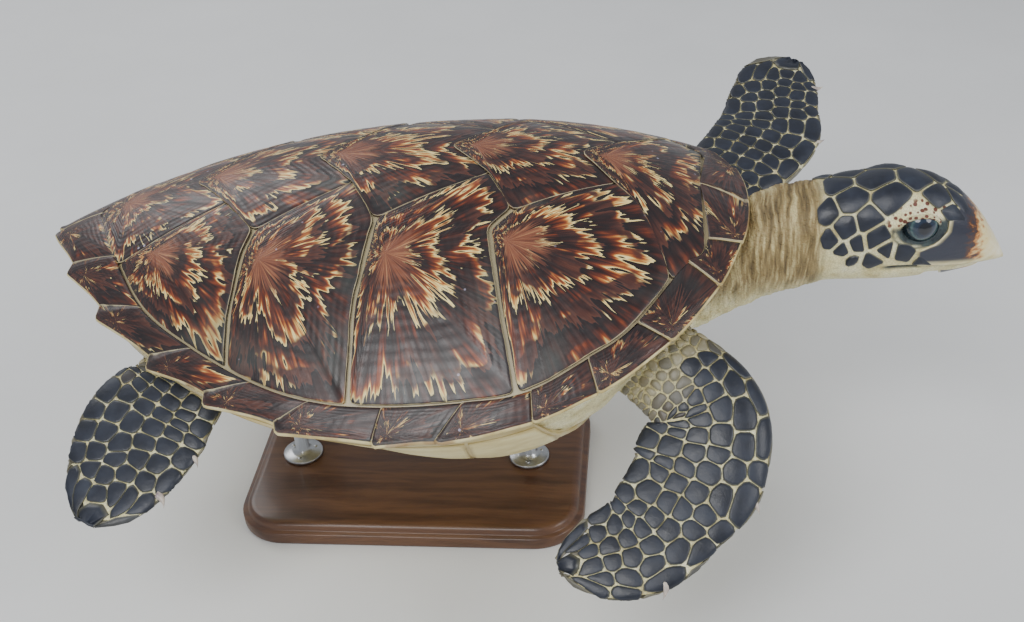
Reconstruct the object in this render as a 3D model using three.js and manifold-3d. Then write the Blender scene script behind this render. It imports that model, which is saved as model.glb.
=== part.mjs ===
// A hawksbill sea turtle, life size, as a still display model on a plain stand.
//
// Millimetres, +Z up, +X towards the head, +Y to the animal's left. The origin is the centre of the
// underside of the stand's base. The animal is described about a body origin of its own, at mid-length of
// the upper shell and at the level of the shell's side rim, which the stand carries at STAND_HEIGHT.
//
// The upper shell, the belly shell, the flesh and the limbs are smooth closed forms worked out from a few
// sizes. The flesh is modelled whole and parted with thin cuts where a person would name its parts.

import * as THREE from 'three';
import { mergeVertices } from 'three/addons/utils/BufferGeometryUtils.js';
import Module from 'manifold-3d';

const wasm = await Module();
wasm.setup();

// ---------------------------------------------------------------- sizes

const GAP = 0.3; // left between pieces that touch
const STAND_HEIGHT = 222; // from the floor to the level of the shell's side rim

// Upper shell: s runs from 0 at the front edge to 1 at the rear tip.
const SHELL_LENGTH = 600;
const SHELL_HALF_WIDTH = 231;
const WIDEST_AT = 0.428;
const CREST_HEIGHT = 131;
const CREST_AT = 0.384;
const FRONT_RIM_RISE = 77;
const REAR_RIM_RISE = 49;
const DOME_POWER = 1.9;
const RIM_THICKNESS = 3.5;
// where the seams between the rim plates meet the edge, from the front to the rear tip
const RIM_SEAMS = [0, 0.012, 0.043, 0.105, 0.193, 0.272, 0.391, 0.472, 0.602, 0.705, 0.795, 0.89, 0.956, 1];
const TOOTH_FRONT = 1.5;
const TOOTH_REAR = 9;
const TOOTH_ROOT = 0.65; // the share of a tooth that is cut back into the outline
const STEPS_PER_PLATE = 4;

// Belly shell and the flesh between the two shells.
const BELLY_DEPTH = 75;
const BELLY_END_RISE = 22;
const BELLY_POWER = { front: 6.5, rear: 2.6, from: -30, to: 130 };
const BELLY_THICKNESS = 7;
const BELLY_FRONT = 215;
const BELLY_REAR = -225;
const BELLY_HALF_WIDTH = 128;
const BRIDGE = { front: 205, rear: -150, frontEase: 95, rearEase: 70 };
const FLESH_REACH = { side: 0.968, end: 0.87, endFrom: 0.68 };

// Neck and head as one form, by stations along X: height of the centre, half height, half width.
const NECK_AND_HEAD = [
  { x: 225, z: 6, tall: 48, wide: 72 },
  { x: 262, z: 15, tall: 46, wide: 59 },
  { x: 295, z: 27, tall: 43.5, wide: 46 },
  { x: 322, z: 39, tall: 45, wide: 41 },
  { x: 346, z: 45, tall: 43.5, wide: 38.5 },
  { x: 364, z: 50, tall: 43, wide: 38 },
  { x: 390, z: 54, tall: 44.5, wide: 39.5 },
  { x: 415, z: 58, tall: 46, wide: 40 },
  { x: 446, z: 57, tall: 41, wide: 36 },
  { x: 470, z: 51, tall: 33, wide: 28.5 },
  { x: 486, z: 45, tall: 22, wide: 19 },
  { x: 499, z: 37, tall: 10, wide: 9.5 },
  { x: 508, z: 29, tall: 1, wide: 1.5 },
];
const HEAD_TURN = THREE.MathUtils.degToRad(-3); // the face turned a little to the animal's right
const HEAD_SQUARENESS = 2.35;
const NECK_CUT = { x: 292, lean: 0.28 };
const HEAD_CUT = { x: 362, lean: -0.1 };
// The lower jaw, by stations along X in the same way; it shows only below the mouth.
const JAW = [
  { x: 385, z: 40, tall: 30, wide: 36 },
  { x: 412, z: 42, tall: 30, wide: 37 },
  { x: 432, z: 42, tall: 29, wide: 32.5 },
  { x: 452, z: 42, tall: 27, wide: 25 },
  { x: 472, z: 41, tall: 23, wide: 16 },
  { x: 486, z: 38, tall: 17, wide: 7.5 },
  { x: 492, z: 34, tall: 8, wide: 2 },
];
const MOUTH = { corner: 410, cornerZ: 36, tip: 510, tipZ: 27, arch: 5, gape: 1.8, easeIn: 18 };
const UPPER_BILL = [[440, 20], [432, 44], [432, 53], [446, 59], [454.5, 69], [456, 80], [466, 87], [478, 130]];
const LOWER_BILL = [[452, 60], [452, 30], [462, 0]];
const EYE = { x: 433, z: 72.5, radius: 17, out: 24, lidRadius: 21, lidOut: 18.5 };

// Flippers lie in planes through the shoulder or hip: "drop" is how far the plane slopes down from level
// away from the body. Centre lines are points (x, distance out along the plane).
const FORE = {
  width: [66, 84, 102, 90, 80, 62],
  thickness: [62, 42, 23, 13, 9, 5],
  shoulder: { x: 190, y: 135, z: 5 },
};
const FORE_RIGHT = { drop: 34, line: [[188, -34], [262, 28], [258, 78], [239, 110], [212, 139], [152, 157]] };
const FORE_LEFT = { drop: -18, line: [[188, -34], [266, 3], [325, 72], [337, 122], [345, 157], [363, 188]] };
const HIND = {
  width: [60, 86, 110, 100, 82, 52],
  thickness: [46, 28, 16, 11, 8, 4],
  shoulder: { x: -190, y: 130, z: 0 },
};
const HIND_RIGHT = { drop: 25, line: [[-150, -34], [-156, 14], [-175, 49], [-188, 88], [-196, 110], [-209, 140]] };
const HIND_LEFT = { drop: 52, line: [[-150, -34], [-166, 8], [-182, 45], [-196, 82], [-206, 112], [-216, 144]] };
const CLAW = { length: 11, radius: 3.2, sink: 4 };
const FORE_CLAWS = [0.5, 0.84];
const HIND_CLAWS = [0.55, 0.78];

const TAIL = { from: -190, to: -262, z: -22, tipZ: 6, radius: 22, tipRadius: 4 };

// Display stand.
const BASE = { length: 320, width: 210, height: 20, corner: 45, bevel: 3 };
const ROD = { radius: 6.5, flangeRadius: 19, flangeHeight: 6, padRadius: 21, padHeight: 7, reach: 16 };
const ROD_FRONT_X = 105;
const ROD_REAR_X = -115;
const ROUND_SIDES = 16;
const FLIPPER_TIP = 0.12; // the share of a flipper's length over which its end is rounded

// ---------------------------------------------------------------- finishes

const finish = (color, roughness, metalness = 0) =>
  new THREE.MeshStandardMaterial({ color, roughness, metalness });
const SHELL_PLATE = () => finish(0x6b3216, 0.35);
const BELLY_PLATE = () => finish(0xd8c890, 0.5);
const SKIN = () => finish(0xb5a57c, 0.7);
const SCALED_SKIN = () => finish(0x2c3644, 0.55);
const HORN = () => finish(0xd9cfa6, 0.4);
const EYE_GLASS = () => finish(0x11161a, 0.08);
const WOOD = () => finish(0x4a2e1c, 0.45);
const STEEL = () => finish(0xa8abad, 0.35, 1);

// ---------------------------------------------------------------- tools

const { lerp, clamp, degToRad, smoothstep } = THREE.MathUtils;

/** A geometry with shared corners only, as the solid modeller wants it. */
function welded(geometry) {
  const bare = geometry.clone();
  bare.deleteAttribute('normal');
  bare.deleteAttribute('uv');
  return mergeVertices(bare, 1e-4);
}

/** The signed volume of an indexed closed geometry, positive where its faces point outwards. */
function signedVolume(geometry) {
  const position = geometry.attributes.position;
  const corner = [new THREE.Vector3(), new THREE.Vector3(), new THREE.Vector3()];
  let sum = 0;
  for (let i = 0; i < geometry.index.count; i += 3) {
    corner.forEach((point, k) => point.fromBufferAttribute(position, geometry.index.getX(i + k)));
    sum += corner[0].dot(corner[1].clone().cross(corner[2]));
  }
  return sum / 6;
}

/** A closed geometry as a solid, turned right side out. */
function solidOf(geometry) {
  const closed = welded(geometry);
  const triVerts = new Uint32Array(closed.index.array);
  if (signedVolume(closed) < 0) {
    for (let i = 0; i < triVerts.length; i += 3) {
      [triVerts[i], triVerts[i + 1]] = [triVerts[i + 1], triVerts[i]];
    }
  }
  const vertProperties = new Float32Array(closed.attributes.position.array);
  return new wasm.Manifold(new wasm.Mesh({ numProp: 3, vertProperties, triVerts }));
}

/** The largest connected piece of a solid. */
function largestOf(solid) {
  return solid.decompose().reduce((best, piece) => (piece.volume() > best.volume() ? piece : best));
}

/** A solid back as a geometry. */
function geometryOf(solid) {
  const { vertProperties, triVerts } = solid.getMesh();
  const geometry = new THREE.BufferGeometry();
  geometry.setAttribute('position', new THREE.BufferAttribute(new Float32Array(vertProperties), 3));
  geometry.setIndex(new THREE.BufferAttribute(new Uint32Array(triVerts), 1));
  return geometry;
}

/** A sphere's mesh with every vertex set by place(ring, spoke): rings run from pole to pole. */
function mould(spokes, rings, place) {
  const geometry = new THREE.SphereGeometry(1, spokes, rings);
  const position = geometry.attributes.position;
  for (let i = 0; i < position.count; i += 1) {
    const ring = Math.floor(i / (spokes + 1));
    const spoke = (i % (spokes + 1)) % spokes;
    const point = place(ring, spoke);
    position.setXYZ(i, point.x, point.y, point.z);
  }
  return solidOf(geometry);
}

/** A smooth value through values at rising knots, with slopes taken from the neighbours. */
function smooth(knots, values, at) {
  const last = knots.length - 1;
  const t = clamp(at, knots[0], knots[last]);
  let i = 0;
  while (i < last - 1 && t > knots[i + 1]) i += 1;
  const slope = (k) => {
    const a = Math.max(k - 1, 0);
    const b = Math.min(k + 1, last);
    return (values[b] - values[a]) / (knots[b] - knots[a]);
  };
  const h = knots[i + 1] - knots[i];
  const u = (t - knots[i]) / h;
  const rise = u * u * (3 - 2 * u);
  return lerp(values[i], values[i + 1], rise)
    + h * (u * (1 - u) * (1 - u) * slope(i) - u * u * (1 - u) * slope(i + 1));
}

/** The unit superellipse at an angle, squarer as the power rises above 2. */
function roundedSquare(angle, power) {
  const bend = (v) => Math.sign(v) * Math.abs(v) ** (2 / power);
  return { across: bend(Math.cos(angle)), up: bend(Math.sin(angle)) };
}

/** A flat outline in X and Z, thickened along Y on both sides of the middle. */
function sidePrism(points, halfWidth) {
  const shape = new THREE.Shape(points.map(([x, z]) => new THREE.Vector2(x, z)));
  const geometry = new THREE.ExtrudeGeometry(shape, { depth: 2 * halfWidth, bevelEnabled: false });
  geometry.rotateX(Math.PI / 2);
  geometry.translate(0, halfWidth, 0);
  return solidOf(geometry);
}

/** Everything ahead of a nearly upright cut across the animal: x past the cut, leaning with z. */
function aheadOf(cut, shift) {
  const [low, high, far] = [-300, 300, 900];
  const x = (z) => cut.x + shift + cut.lean * z;
  return sidePrism([[x(low), low], [far, low], [far, high], [x(high), high]], 400);
}

// ---------------------------------------------------------------- the two shells

const stationX = (s) => SHELL_LENGTH * (0.5 - s);
const stationS = (x) => clamp(0.5 - x / SHELL_LENGTH, 0, 1);

/** Half the width of the upper shell at station s. */
function outlineHalfWidth(s) {
  const front = s < WIDEST_AT;
  const u = clamp(front ? (WIDEST_AT - s) / WIDEST_AT : (s - WIDEST_AT) / (1 - WIDEST_AT), 0, 1);
  const [power, root] = front ? [2.3, 2.05] : [2.1, 1.26];
  return SHELL_HALF_WIDTH * (1 - u ** power) ** (1 / root);
}

/** The height of the shell's rim above its sides: it rises over the neck and over the tail. */
function rimHeight(s) {
  const front = clamp(1 - 2 * s, 0, 1);
  const rear = clamp(2 * s - 1, 0, 1);
  return FRONT_RIM_RISE * front * front + REAR_RIM_RISE * rear * rear;
}

/** The height of the shell's middle line. */
function crestHeight(s) {
  const front = s < CREST_AT;
  const u = front ? (CREST_AT - s) / CREST_AT : (s - CREST_AT) / (1 - CREST_AT);
  const [base, power] = front ? [FRONT_RIM_RISE, 2.26] : [REAR_RIM_RISE, 2];
  return base + (CREST_HEIGHT - base) * (1 - u ** power);
}

/** The height of the upper shell's top over a point. */
function domeHeight(x, y) {
  const s = stationS(x);
  const across = clamp(Math.abs(y) / Math.max(outlineHalfWidth(s), 1), 0, 1);
  return rimHeight(s) + (crestHeight(s) - rimHeight(s)) * (1 - across ** DOME_POWER);
}

const PLATES_PER_SIDE = RIM_SEAMS.length - 1;
const RIM_SPOKES = 2 * PLATES_PER_SIDE * STEPS_PER_PLATE;
const PLATE_STEPS = [0, 0.34, 0.68, 0.95];

/** A point of the toothed rim: spokes run from the front edge round the left side and back by the right. */
function rimPoint(spoke, grow) {
  const half = RIM_SPOKES / 2;
  const side = spoke <= half ? 1 : -1;
  const k = spoke <= half ? spoke : RIM_SPOKES - spoke;
  const plate = Math.min(Math.floor(k / STEPS_PER_PLATE), PLATES_PER_SIDE - 1);
  const step = k - plate * STEPS_PER_PLATE;
  const inPlate = step < STEPS_PER_PLATE ? PLATE_STEPS[step] : 1;
  const s = lerp(RIM_SEAMS[plate], RIM_SEAMS[plate + 1], inPlate);
  const rear = clamp((s - 0.3) / 0.5, 0, 1);
  const tooth = lerp(TOOTH_FRONT, TOOTH_REAR, rear * rear * (3 - 2 * rear));
  const bite = (step < STEPS_PER_PLATE ? inPlate ** 2 : 0) - TOOTH_ROOT;
  const step1 = 0.004;
  const ahead = new THREE.Vector2(stationX(s - step1), outlineHalfWidth(Math.max(s - step1, 0)));
  const behind = new THREE.Vector2(stationX(s + step1), outlineHalfWidth(Math.min(s + step1, 1)));
  const along = behind.sub(ahead).normalize();
  const outward = new THREE.Vector2(-along.y, along.x);
  if (outward.x * stationX(s) + outward.y < 0) outward.negate();
  const atEnd = k === 0 || k === half;
  const reach = grow + tooth * bite;
  const x = stationX(s) + (atEnd ? Math.sign(stationX(s)) * grow : outward.x * reach);
  const y = atEnd ? 0 : side * (outlineHalfWidth(s) + outward.y * reach);
  return { x, y, s };
}

/** The upper shell, grown all round where it has to clear its neighbours. */
function carapaceSolid(grow = 0) {
  const topRings = 6;
  return mould(RIM_SPOKES, topRings + 2, (ring, spoke) => {
    const rim = rimPoint(spoke, grow);
    if (ring >= topRings) {
      const edge = rimHeight(rim.s) + (ring === topRings ? grow : -RIM_THICKNESS - grow);
      const inwards = ring === topRings + 2 ? 0 : 1;
      return new THREE.Vector3(rim.x * inwards, rim.y * inwards, inwards ? edge : -RIM_THICKNESS - grow);
    }
    const rho = Math.sin((Math.PI / 2) * (ring / topRings)) ** 1.1;
    return new THREE.Vector3(rim.x * rho, rim.y * rho, domeHeight(rim.x * rho, rim.y * rho) + grow);
  });
}

/** The bowl below the rim: its outline is the shell's, scaled by reach, and its belly is raised by lift. */
function bowlSolid(reachOf, lift, top) {
  const bowlRings = 6;
  const spokes = 36;
  return mould(spokes, bowlRings + 1, (ring, spoke) => {
    const angle = (2 * Math.PI * spoke) / spokes;
    const s = (1 - Math.cos(angle)) / 2;
    const side = Math.sin(angle) >= 0 ? 1 : -1;
    const reach = reachOf(s);
    const rim = { x: stationX(s) * reach, y: side * outlineHalfWidth(s) * reach };
    if (ring <= 1) {
      return new THREE.Vector3(rim.x * ring, rim.y * ring, rimHeight(stationS(rim.x * ring)) + top);
    }
    const rho = 1 - ((ring - 1) / bowlRings) ** 1.6;
    const x = rim.x * rho;
    const away = Math.abs(x) / (SHELL_LENGTH / 2);
    const floor = -BELLY_DEPTH + BELLY_END_RISE * away ** 3 + lift;
    const edge = rimHeight(s) * reach;
    const { front, rear, from, to } = BELLY_POWER;
    const power = lerp(rear, front, smoothstep(x, from, to));
    return new THREE.Vector3(x, rim.y * rho, edge - (edge - floor) * (1 - rho ** power));
  });
}

/** How far the flesh reaches out below the rim, as a share of the shell's outline. */
function fleshReach(s) {
  const towardsEnd = smoothstep(Math.abs(2 * s - 1), FLESH_REACH.endFrom, 1);
  return lerp(FLESH_REACH.side, FLESH_REACH.end, towardsEnd);
}

/** An upright prism of the belly shell's outline, with its bridges out to the rim. */
function bellyOutline(grow) {
  const steps = 22;
  const middle = (BELLY_FRONT + BELLY_REAR) / 2;
  const halfLength = (BELLY_FRONT - BELLY_REAR) / 2 + grow;
  const sideOf = (x) => {
    const u = clamp(Math.abs(x - middle) / halfLength, 0, 1);
    const lobe = (BELLY_HALF_WIDTH + grow) * (1 - u ** 2.6) ** (1 / 2);
    const inBridge = smoothstep(x, BRIDGE.rear - grow, BRIDGE.rear + BRIDGE.rearEase)
      * (1 - smoothstep(x, BRIDGE.front - BRIDGE.frontEase, BRIDGE.front + grow));
    return lobe + (SHELL_HALF_WIDTH + 10 - lobe) * inBridge;
  };
  const left = [];
  for (let i = 0; i <= steps; i += 1) {
    const x = middle - halfLength * Math.cos((Math.PI * i) / steps);
    left.push(new THREE.Vector2(x, Math.max(sideOf(x), 0.5)));
  }
  const right = left.map((point) => new THREE.Vector2(point.x, -point.y)).reverse();
  const shape = new THREE.Shape([...left, ...right]);
  const geometry = new THREE.ExtrudeGeometry(shape, { depth: 400, bevelEnabled: false });
  geometry.translate(0, 0, -200);
  return solidOf(geometry);
}

/** The belly shell: an even skin of the bowl within its outline. */
function plastronSolid(grow = 0) {
  const inset = BELLY_THICKNESS / SHELL_HALF_WIDTH;
  const outer = bowlSolid(() => 0.985 + grow / SHELL_HALF_WIDTH, -grow, 30);
  const inner = bowlSolid(() => 0.985 - inset - grow / SHELL_HALF_WIDTH, BELLY_THICKNESS + grow, 60);
  return outer.intersect(bellyOutline(grow)).subtract(inner);
}

// ---------------------------------------------------------------- limbs, neck, head and tail

const STATIONS = [0, 0.22, 0.45, 0.68, 0.85, 1];

/** Where a flipper's centre line is and how it is turned, at a share t of its length. */
function flipperFrame(kind, pose, side, t) {
  const drop = degToRad(pose.drop);
  const out = new THREE.Vector3(0, side * Math.cos(drop), -Math.sin(drop));
  const origin = new THREE.Vector3(0, side * kind.shoulder.y, kind.shoulder.z);
  const knots = pose.line.map((_, i) => STATIONS[i]);
  const at = (v) => new THREE.Vector2(
    smooth(knots, pose.line.map(([x]) => x), v),
    smooth(knots, pose.line.map(([, reach]) => reach), v),
  );
  const here = at(t);
  const before = at(Math.max(t - 0.02, 0));
  const along = at(Math.min(t + 0.02, 1)).sub(before).normalize();
  const centre = origin.clone().addScaledVector(out, here.y).add(new THREE.Vector3(here.x, 0, 0));
  const forward = new THREE.Vector3(along.y, 0, 0).addScaledVector(out, -along.x);
  const upward = new THREE.Vector3(0, side * Math.sin(drop), Math.cos(drop));
  return { centre, forward, upward };
}

/** A flipper: a flat blade, thick at its leading edge, along its centre line. */
function flipperSolid(kind, pose, side) {
  const [spokes, rings] = [12, 13];
  return mould(spokes, rings, (ring, spoke) => {
    const t = 1 - (1 - ring / rings) ** 1.25;
    const { centre, forward, upward } = flipperFrame(kind, pose, side, t);
    const fromTip = clamp((1 - t) / FLIPPER_TIP, 0, 1);
    const fromRoot = clamp(ring, 0, 1);
    const round = Math.sqrt(fromTip * (2 - fromTip)) * fromRoot;
    const half = (smooth(STATIONS, kind.width, t) / 2) * round;
    const thick = (smooth(STATIONS, kind.thickness, t) / 2) * round;
    const angle = (2 * Math.PI * spoke) / spokes;
    const lead = Math.cos(angle);
    const fullness = 0.72 + 0.28 * lead;
    return centre.clone().addScaledVector(forward, half * lead)
      .addScaledVector(upward, thick * fullness * Math.sin(angle));
  });
}

/** Everything beyond a flipper's root cut. */
function beyondRoot(kind, pose, side, t, shift) {
  const { centre, forward, upward } = flipperFrame(kind, pose, side, t);
  const outward = new THREE.Vector3().crossVectors(forward, upward).multiplyScalar(-side);
  const size = 600;
  const geometry = new THREE.BoxGeometry(size, size, size);
  geometry.translate(0, 0, size / 2 + shift);
  const turn = new THREE.Matrix4().makeBasis(forward, upward.clone().multiplyScalar(side), outward);
  geometry.applyMatrix4(turn);
  geometry.translate(centre.x, centre.y, centre.z);
  return solidOf(geometry);
}

/** A claw on a flipper's leading edge: a small curved cone pointing out and on towards the tip. */
function clawSolid(kind, pose, side, t) {
  const { centre, forward, upward } = flipperFrame(kind, pose, side, t);
  const half = smooth(STATIONS, kind.width, t) / 2;
  const outward = new THREE.Vector3().crossVectors(forward, upward).multiplyScalar(-side);
  const root = centre.clone().addScaledVector(forward, half - CLAW.sink);
  return mould(6, 5, (ring, spoke) => {
    const v = ring / 5;
    const angle = (2 * Math.PI * spoke) / 6;
    const radius = ring === 0 ? 0 : CLAW.radius * (1 - ((ring - 1) / 4) ** 1.3);
    const reach = Math.max(ring - 1, 0) / 4;
    return root.clone()
      .addScaledVector(forward, reach * CLAW.length * (1 - 0.25 * v))
      .addScaledVector(outward, reach * reach * CLAW.length * 0.55 + radius * Math.cos(angle))
      .addScaledVector(upward, radius * Math.sin(angle) * 0.8);
  });
}

/** A section of a form given by stations along X: its centre and half sizes. */
function sectionAt(stations, x) {
  const knots = stations.map((station) => station.x);
  const read = (name) => smooth(knots, stations.map((station) => station[name]), x);
  const turned = Math.max(x - HEAD_CUT.x, 0);
  return { z: read('z'), tall: read('tall'), wide: read('wide'), y: Math.tan(HEAD_TURN) * turned };
}

/** A closed form through stations along X, with squarish sections. */
function stationSolid(stations, spokes, rings) {
  const [first, last] = [stations[0].x, stations[stations.length - 1].x];
  return mould(spokes, rings, (ring, spoke) => {
    const v = clamp((ring - 1) / (rings - 2), 0, 1);
    const x = lerp(first, last, 1 - (1 - v) ** 1.25);
    const { y, z, tall, wide } = sectionAt(stations, x);
    const size = ring === 0 || ring === rings ? 0 : 1;
    const { across, up } = roundedSquare((2 * Math.PI * spoke) / spokes, HEAD_SQUARENESS);
    return new THREE.Vector3(x + (ring === rings ? 1 : 0), y + wide * across * size, z + tall * up * size);
  });
}

/** The eyeball of one side, or the ring of lids about it. */
function eyeSolid(side, radius, out) {
  const { y } = sectionAt(NECK_AND_HEAD, EYE.x);
  const geometry = new THREE.SphereGeometry(radius, 12, 9);
  geometry.rotateX(Math.PI / 2);
  geometry.translate(EYE.x, y + side * out, EYE.z);
  return solidOf(geometry);
}

/** The line where the upper jaw meets the lower, seen from the side. */
function mouthHeight(x) {
  const u = clamp((x - MOUTH.corner) / (MOUTH.tip - MOUTH.corner), 0, 1);
  return lerp(MOUTH.cornerZ, MOUTH.tipZ, u) + MOUTH.arch * 4 * u * (1 - u);
}

/** Everything below the line of the mouth, set down by the mouth's opening where shut is false. */
function belowMouth(open) {
  const steps = 10;
  const line = [];
  for (let i = 0; i <= steps; i += 1) {
    const x = lerp(MOUTH.corner, MOUTH.tip + 10, i / steps);
    const gape = open ? MOUTH.gape * clamp((x - MOUTH.corner) / MOUTH.easeIn, 0, 1) : 0;
    line.push([x, mouthHeight(x) - gape]);
  }
  const low = -100;
  return sidePrism([[MOUTH.corner, low], ...line, [MOUTH.tip + 10, low]].reverse(), 60);
}

/** A part of the head from an outline's back edge forwards, grown where the head has to clear it. */
function aheadOfLine(line, grow) {
  const far = 600;
  const back = line.map(([x, z]) => [x - grow, z]);
  return sidePrism([...back, [far, line[line.length - 1][1]], [far, line[0][1]]], 60);
}

/** The tail: a short cone tucked under the rear of the shell. */
function tailSolid() {
  const rings = 7;
  return mould(12, rings, (ring, spoke) => {
    const v = clamp((ring - 1) / (rings - 2), 0, 1);
    const capped = ring === 0 || ring === rings;
    const radius = capped ? 0 : lerp(TAIL.radius, TAIL.tipRadius, v);
    const angle = (2 * Math.PI * spoke) / 12;
    const x = lerp(TAIL.from, TAIL.to, v) - (ring === rings ? TAIL.tipRadius * 0.7 : 0);
    const z = lerp(TAIL.z, TAIL.tipZ, v);
    return new THREE.Vector3(x, radius * Math.cos(angle), z + 0.85 * radius * Math.sin(angle));
  });
}

// ---------------------------------------------------------------- the stand

/** The base: a slab with rounded corners and a bevelled edge. */
function standBase() {
  const [a, b, r] = [BASE.length / 2 - BASE.bevel, BASE.width / 2 - BASE.bevel, BASE.corner];
  const shape = new THREE.Shape();
  shape.absarc(a - r, b - r, r, 0, Math.PI / 2);
  shape.absarc(r - a, b - r, r, Math.PI / 2, Math.PI);
  shape.absarc(r - a, r - b, r, Math.PI, 1.5 * Math.PI);
  shape.absarc(a - r, r - b, r, 1.5 * Math.PI, 2 * Math.PI);
  const geometry = new THREE.ExtrudeGeometry(shape, {
    depth: BASE.height - 2 * BASE.bevel,
    bevelThickness: BASE.bevel,
    bevelSize: BASE.bevel,
    bevelSegments: 1,
    curveSegments: 4,
  });
  geometry.translate(0, 0, BASE.bevel - STAND_HEIGHT);
  return solidOf(geometry);
}

/** A rod with a flange on the base and a pad that fits the belly. */
function standRod(x, belly) {
  const floor = BASE.height + GAP - STAND_HEIGHT;
  const top = ROD.reach - BELLY_DEPTH;
  const pad = top - ROD.reach - ROD.padHeight;
  const geometry = new THREE.LatheGeometry([
    new THREE.Vector2(0, floor),
    new THREE.Vector2(ROD.flangeRadius, floor),
    new THREE.Vector2(ROD.flangeRadius, floor + ROD.flangeHeight * 0.6),
    new THREE.Vector2(ROD.radius + 2, floor + ROD.flangeHeight),
    new THREE.Vector2(ROD.radius, floor + ROD.flangeHeight + 2),
    new THREE.Vector2(ROD.radius, pad - 6),
    new THREE.Vector2(ROD.padRadius, pad),
    new THREE.Vector2(ROD.padRadius, top),
    new THREE.Vector2(0, top),
  ], ROUND_SIDES);
  geometry.rotateX(Math.PI / 2);
  geometry.translate(x, 0, 0);
  return solidOf(geometry).subtract(belly);
}

// ---------------------------------------------------------------- parting the animal

const carapace = carapaceSolid();
const carapaceRoom = carapaceSolid(GAP);
const plastron = plastronSolid().subtract(carapaceRoom);
const plastronRoom = plastronSolid(GAP);
const shells = carapaceRoom.add(plastronRoom);

const limbs = [
  { name: 'flipper_front_right', kind: FORE, pose: FORE_RIGHT, side: -1, cut: 0.2, claws: FORE_CLAWS },
  { name: 'flipper_front_left', kind: FORE, pose: FORE_LEFT, side: 1, cut: 0.2, claws: FORE_CLAWS },
  { name: 'flipper_hind_right', kind: HIND, pose: HIND_RIGHT, side: -1, cut: 0.24, claws: HIND_CLAWS },
  { name: 'flipper_hind_left', kind: HIND, pose: HIND_LEFT, side: 1, cut: 0.24, claws: HIND_CLAWS },
];
const nodes = [];
const addNode = (name, solid, material) => nodes.push({ name, solid: largestOf(solid), material });

const upperHead = stationSolid(NECK_AND_HEAD, 20, 22)
  .add(eyeSolid(1, EYE.lidRadius, EYE.lidOut))
  .add(eyeSolid(-1, EYE.lidRadius, EYE.lidOut))
  .subtract(belowMouth(false));
const lowerJaw = stationSolid(JAW, 16, 9).intersect(belowMouth(true));
let trunk = bowlSolid(fleshReach, BELLY_THICKNESS * 0.2, 30).subtract(aheadOf(NECK_CUT, 0));
trunk = trunk.add(upperHead.subtract(aheadOf(NECK_CUT, 0)));

for (const { name, kind, pose, side, cut, claws } of limbs) {
  const whole = flipperSolid(kind, pose, side);
  trunk = trunk.add(whole.subtract(beyondRoot(kind, pose, side, cut, 0)));
  let blade = whole.intersect(beyondRoot(kind, pose, side, cut, GAP)).subtract(shells);
  claws.forEach((t, i) => {
    const claw = clawSolid(kind, pose, side, t);
    addNode(`${name.replace('flipper', 'claw')}_${i + 1}`, claw, HORN());
    blade = blade.subtract(claw);
  });
  addNode(name, blade, SCALED_SKIN());
}

const tail = tailSolid();
const tailCut = sidePrism([[-500, -200], [TAIL.from - 32, -200], [TAIL.from - 32, 200], [-500, 200]], 300);
trunk = trunk.add(tail.subtract(tailCut));
addNode('trunk', trunk.subtract(shells), SKIN());
addNode('tail', tail.intersect(tailCut.translate([-GAP, 0, 0])).subtract(shells).subtract(trunk), SKIN());
addNode('carapace', carapace, SHELL_PLATE());
addNode('plastron', plastron, BELLY_PLATE());

const neck = upperHead.intersect(aheadOf(NECK_CUT, GAP)).subtract(aheadOf(HEAD_CUT, 0)).subtract(shells);
addNode('neck', neck, SKIN());

const eyes = [1, -1].map((side) => eyeSolid(side, EYE.radius, EYE.out));
const sockets = eyeSolid(1, EYE.radius + GAP, EYE.out).add(eyeSolid(-1, EYE.radius + GAP, EYE.out));
const upperBack = upperHead.intersect(aheadOf(HEAD_CUT, GAP)).subtract(aheadOfLine(UPPER_BILL, GAP));
const lowerBack = lowerJaw.subtract(aheadOfLine(LOWER_BILL, GAP));
addNode('head', upperBack.add(lowerBack).subtract(sockets), SCALED_SKIN());
addNode('bill_upper', upperHead.intersect(aheadOfLine(UPPER_BILL, 0)), HORN());
addNode('bill_lower', lowerJaw.intersect(aheadOfLine(LOWER_BILL, 0)), HORN());
addNode('eye_left', eyes[0], EYE_GLASS());
addNode('eye_right', eyes[1], EYE_GLASS());

addNode('stand_base', standBase(), WOOD());
addNode('stand_rod_front', standRod(ROD_FRONT_X, plastronRoom), STEEL());
addNode('stand_rod_rear', standRod(ROD_REAR_X, plastronRoom), STEEL());

const group = new THREE.Group();
for (const { name, solid, material } of nodes) {
  const mesh = new THREE.Mesh(geometryOf(solid), material);
  mesh.name = name;
  mesh.position.z = STAND_HEIGHT;
  group.add(mesh);
}

export default group;
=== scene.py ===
"""A life-size hawksbill sea turtle as a still museum model on a display stand.

The animal heads towards +X with its right side towards -Y, in metres, and the origin is the centre of the
stand's underside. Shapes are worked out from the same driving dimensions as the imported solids.
"""

import logging
import math
from dataclasses import dataclass, field
from enum import Enum
from typing import Iterable, Sequence

import bmesh
import bpy
import numpy as np
from mathutils import Matrix, Vector

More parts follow.
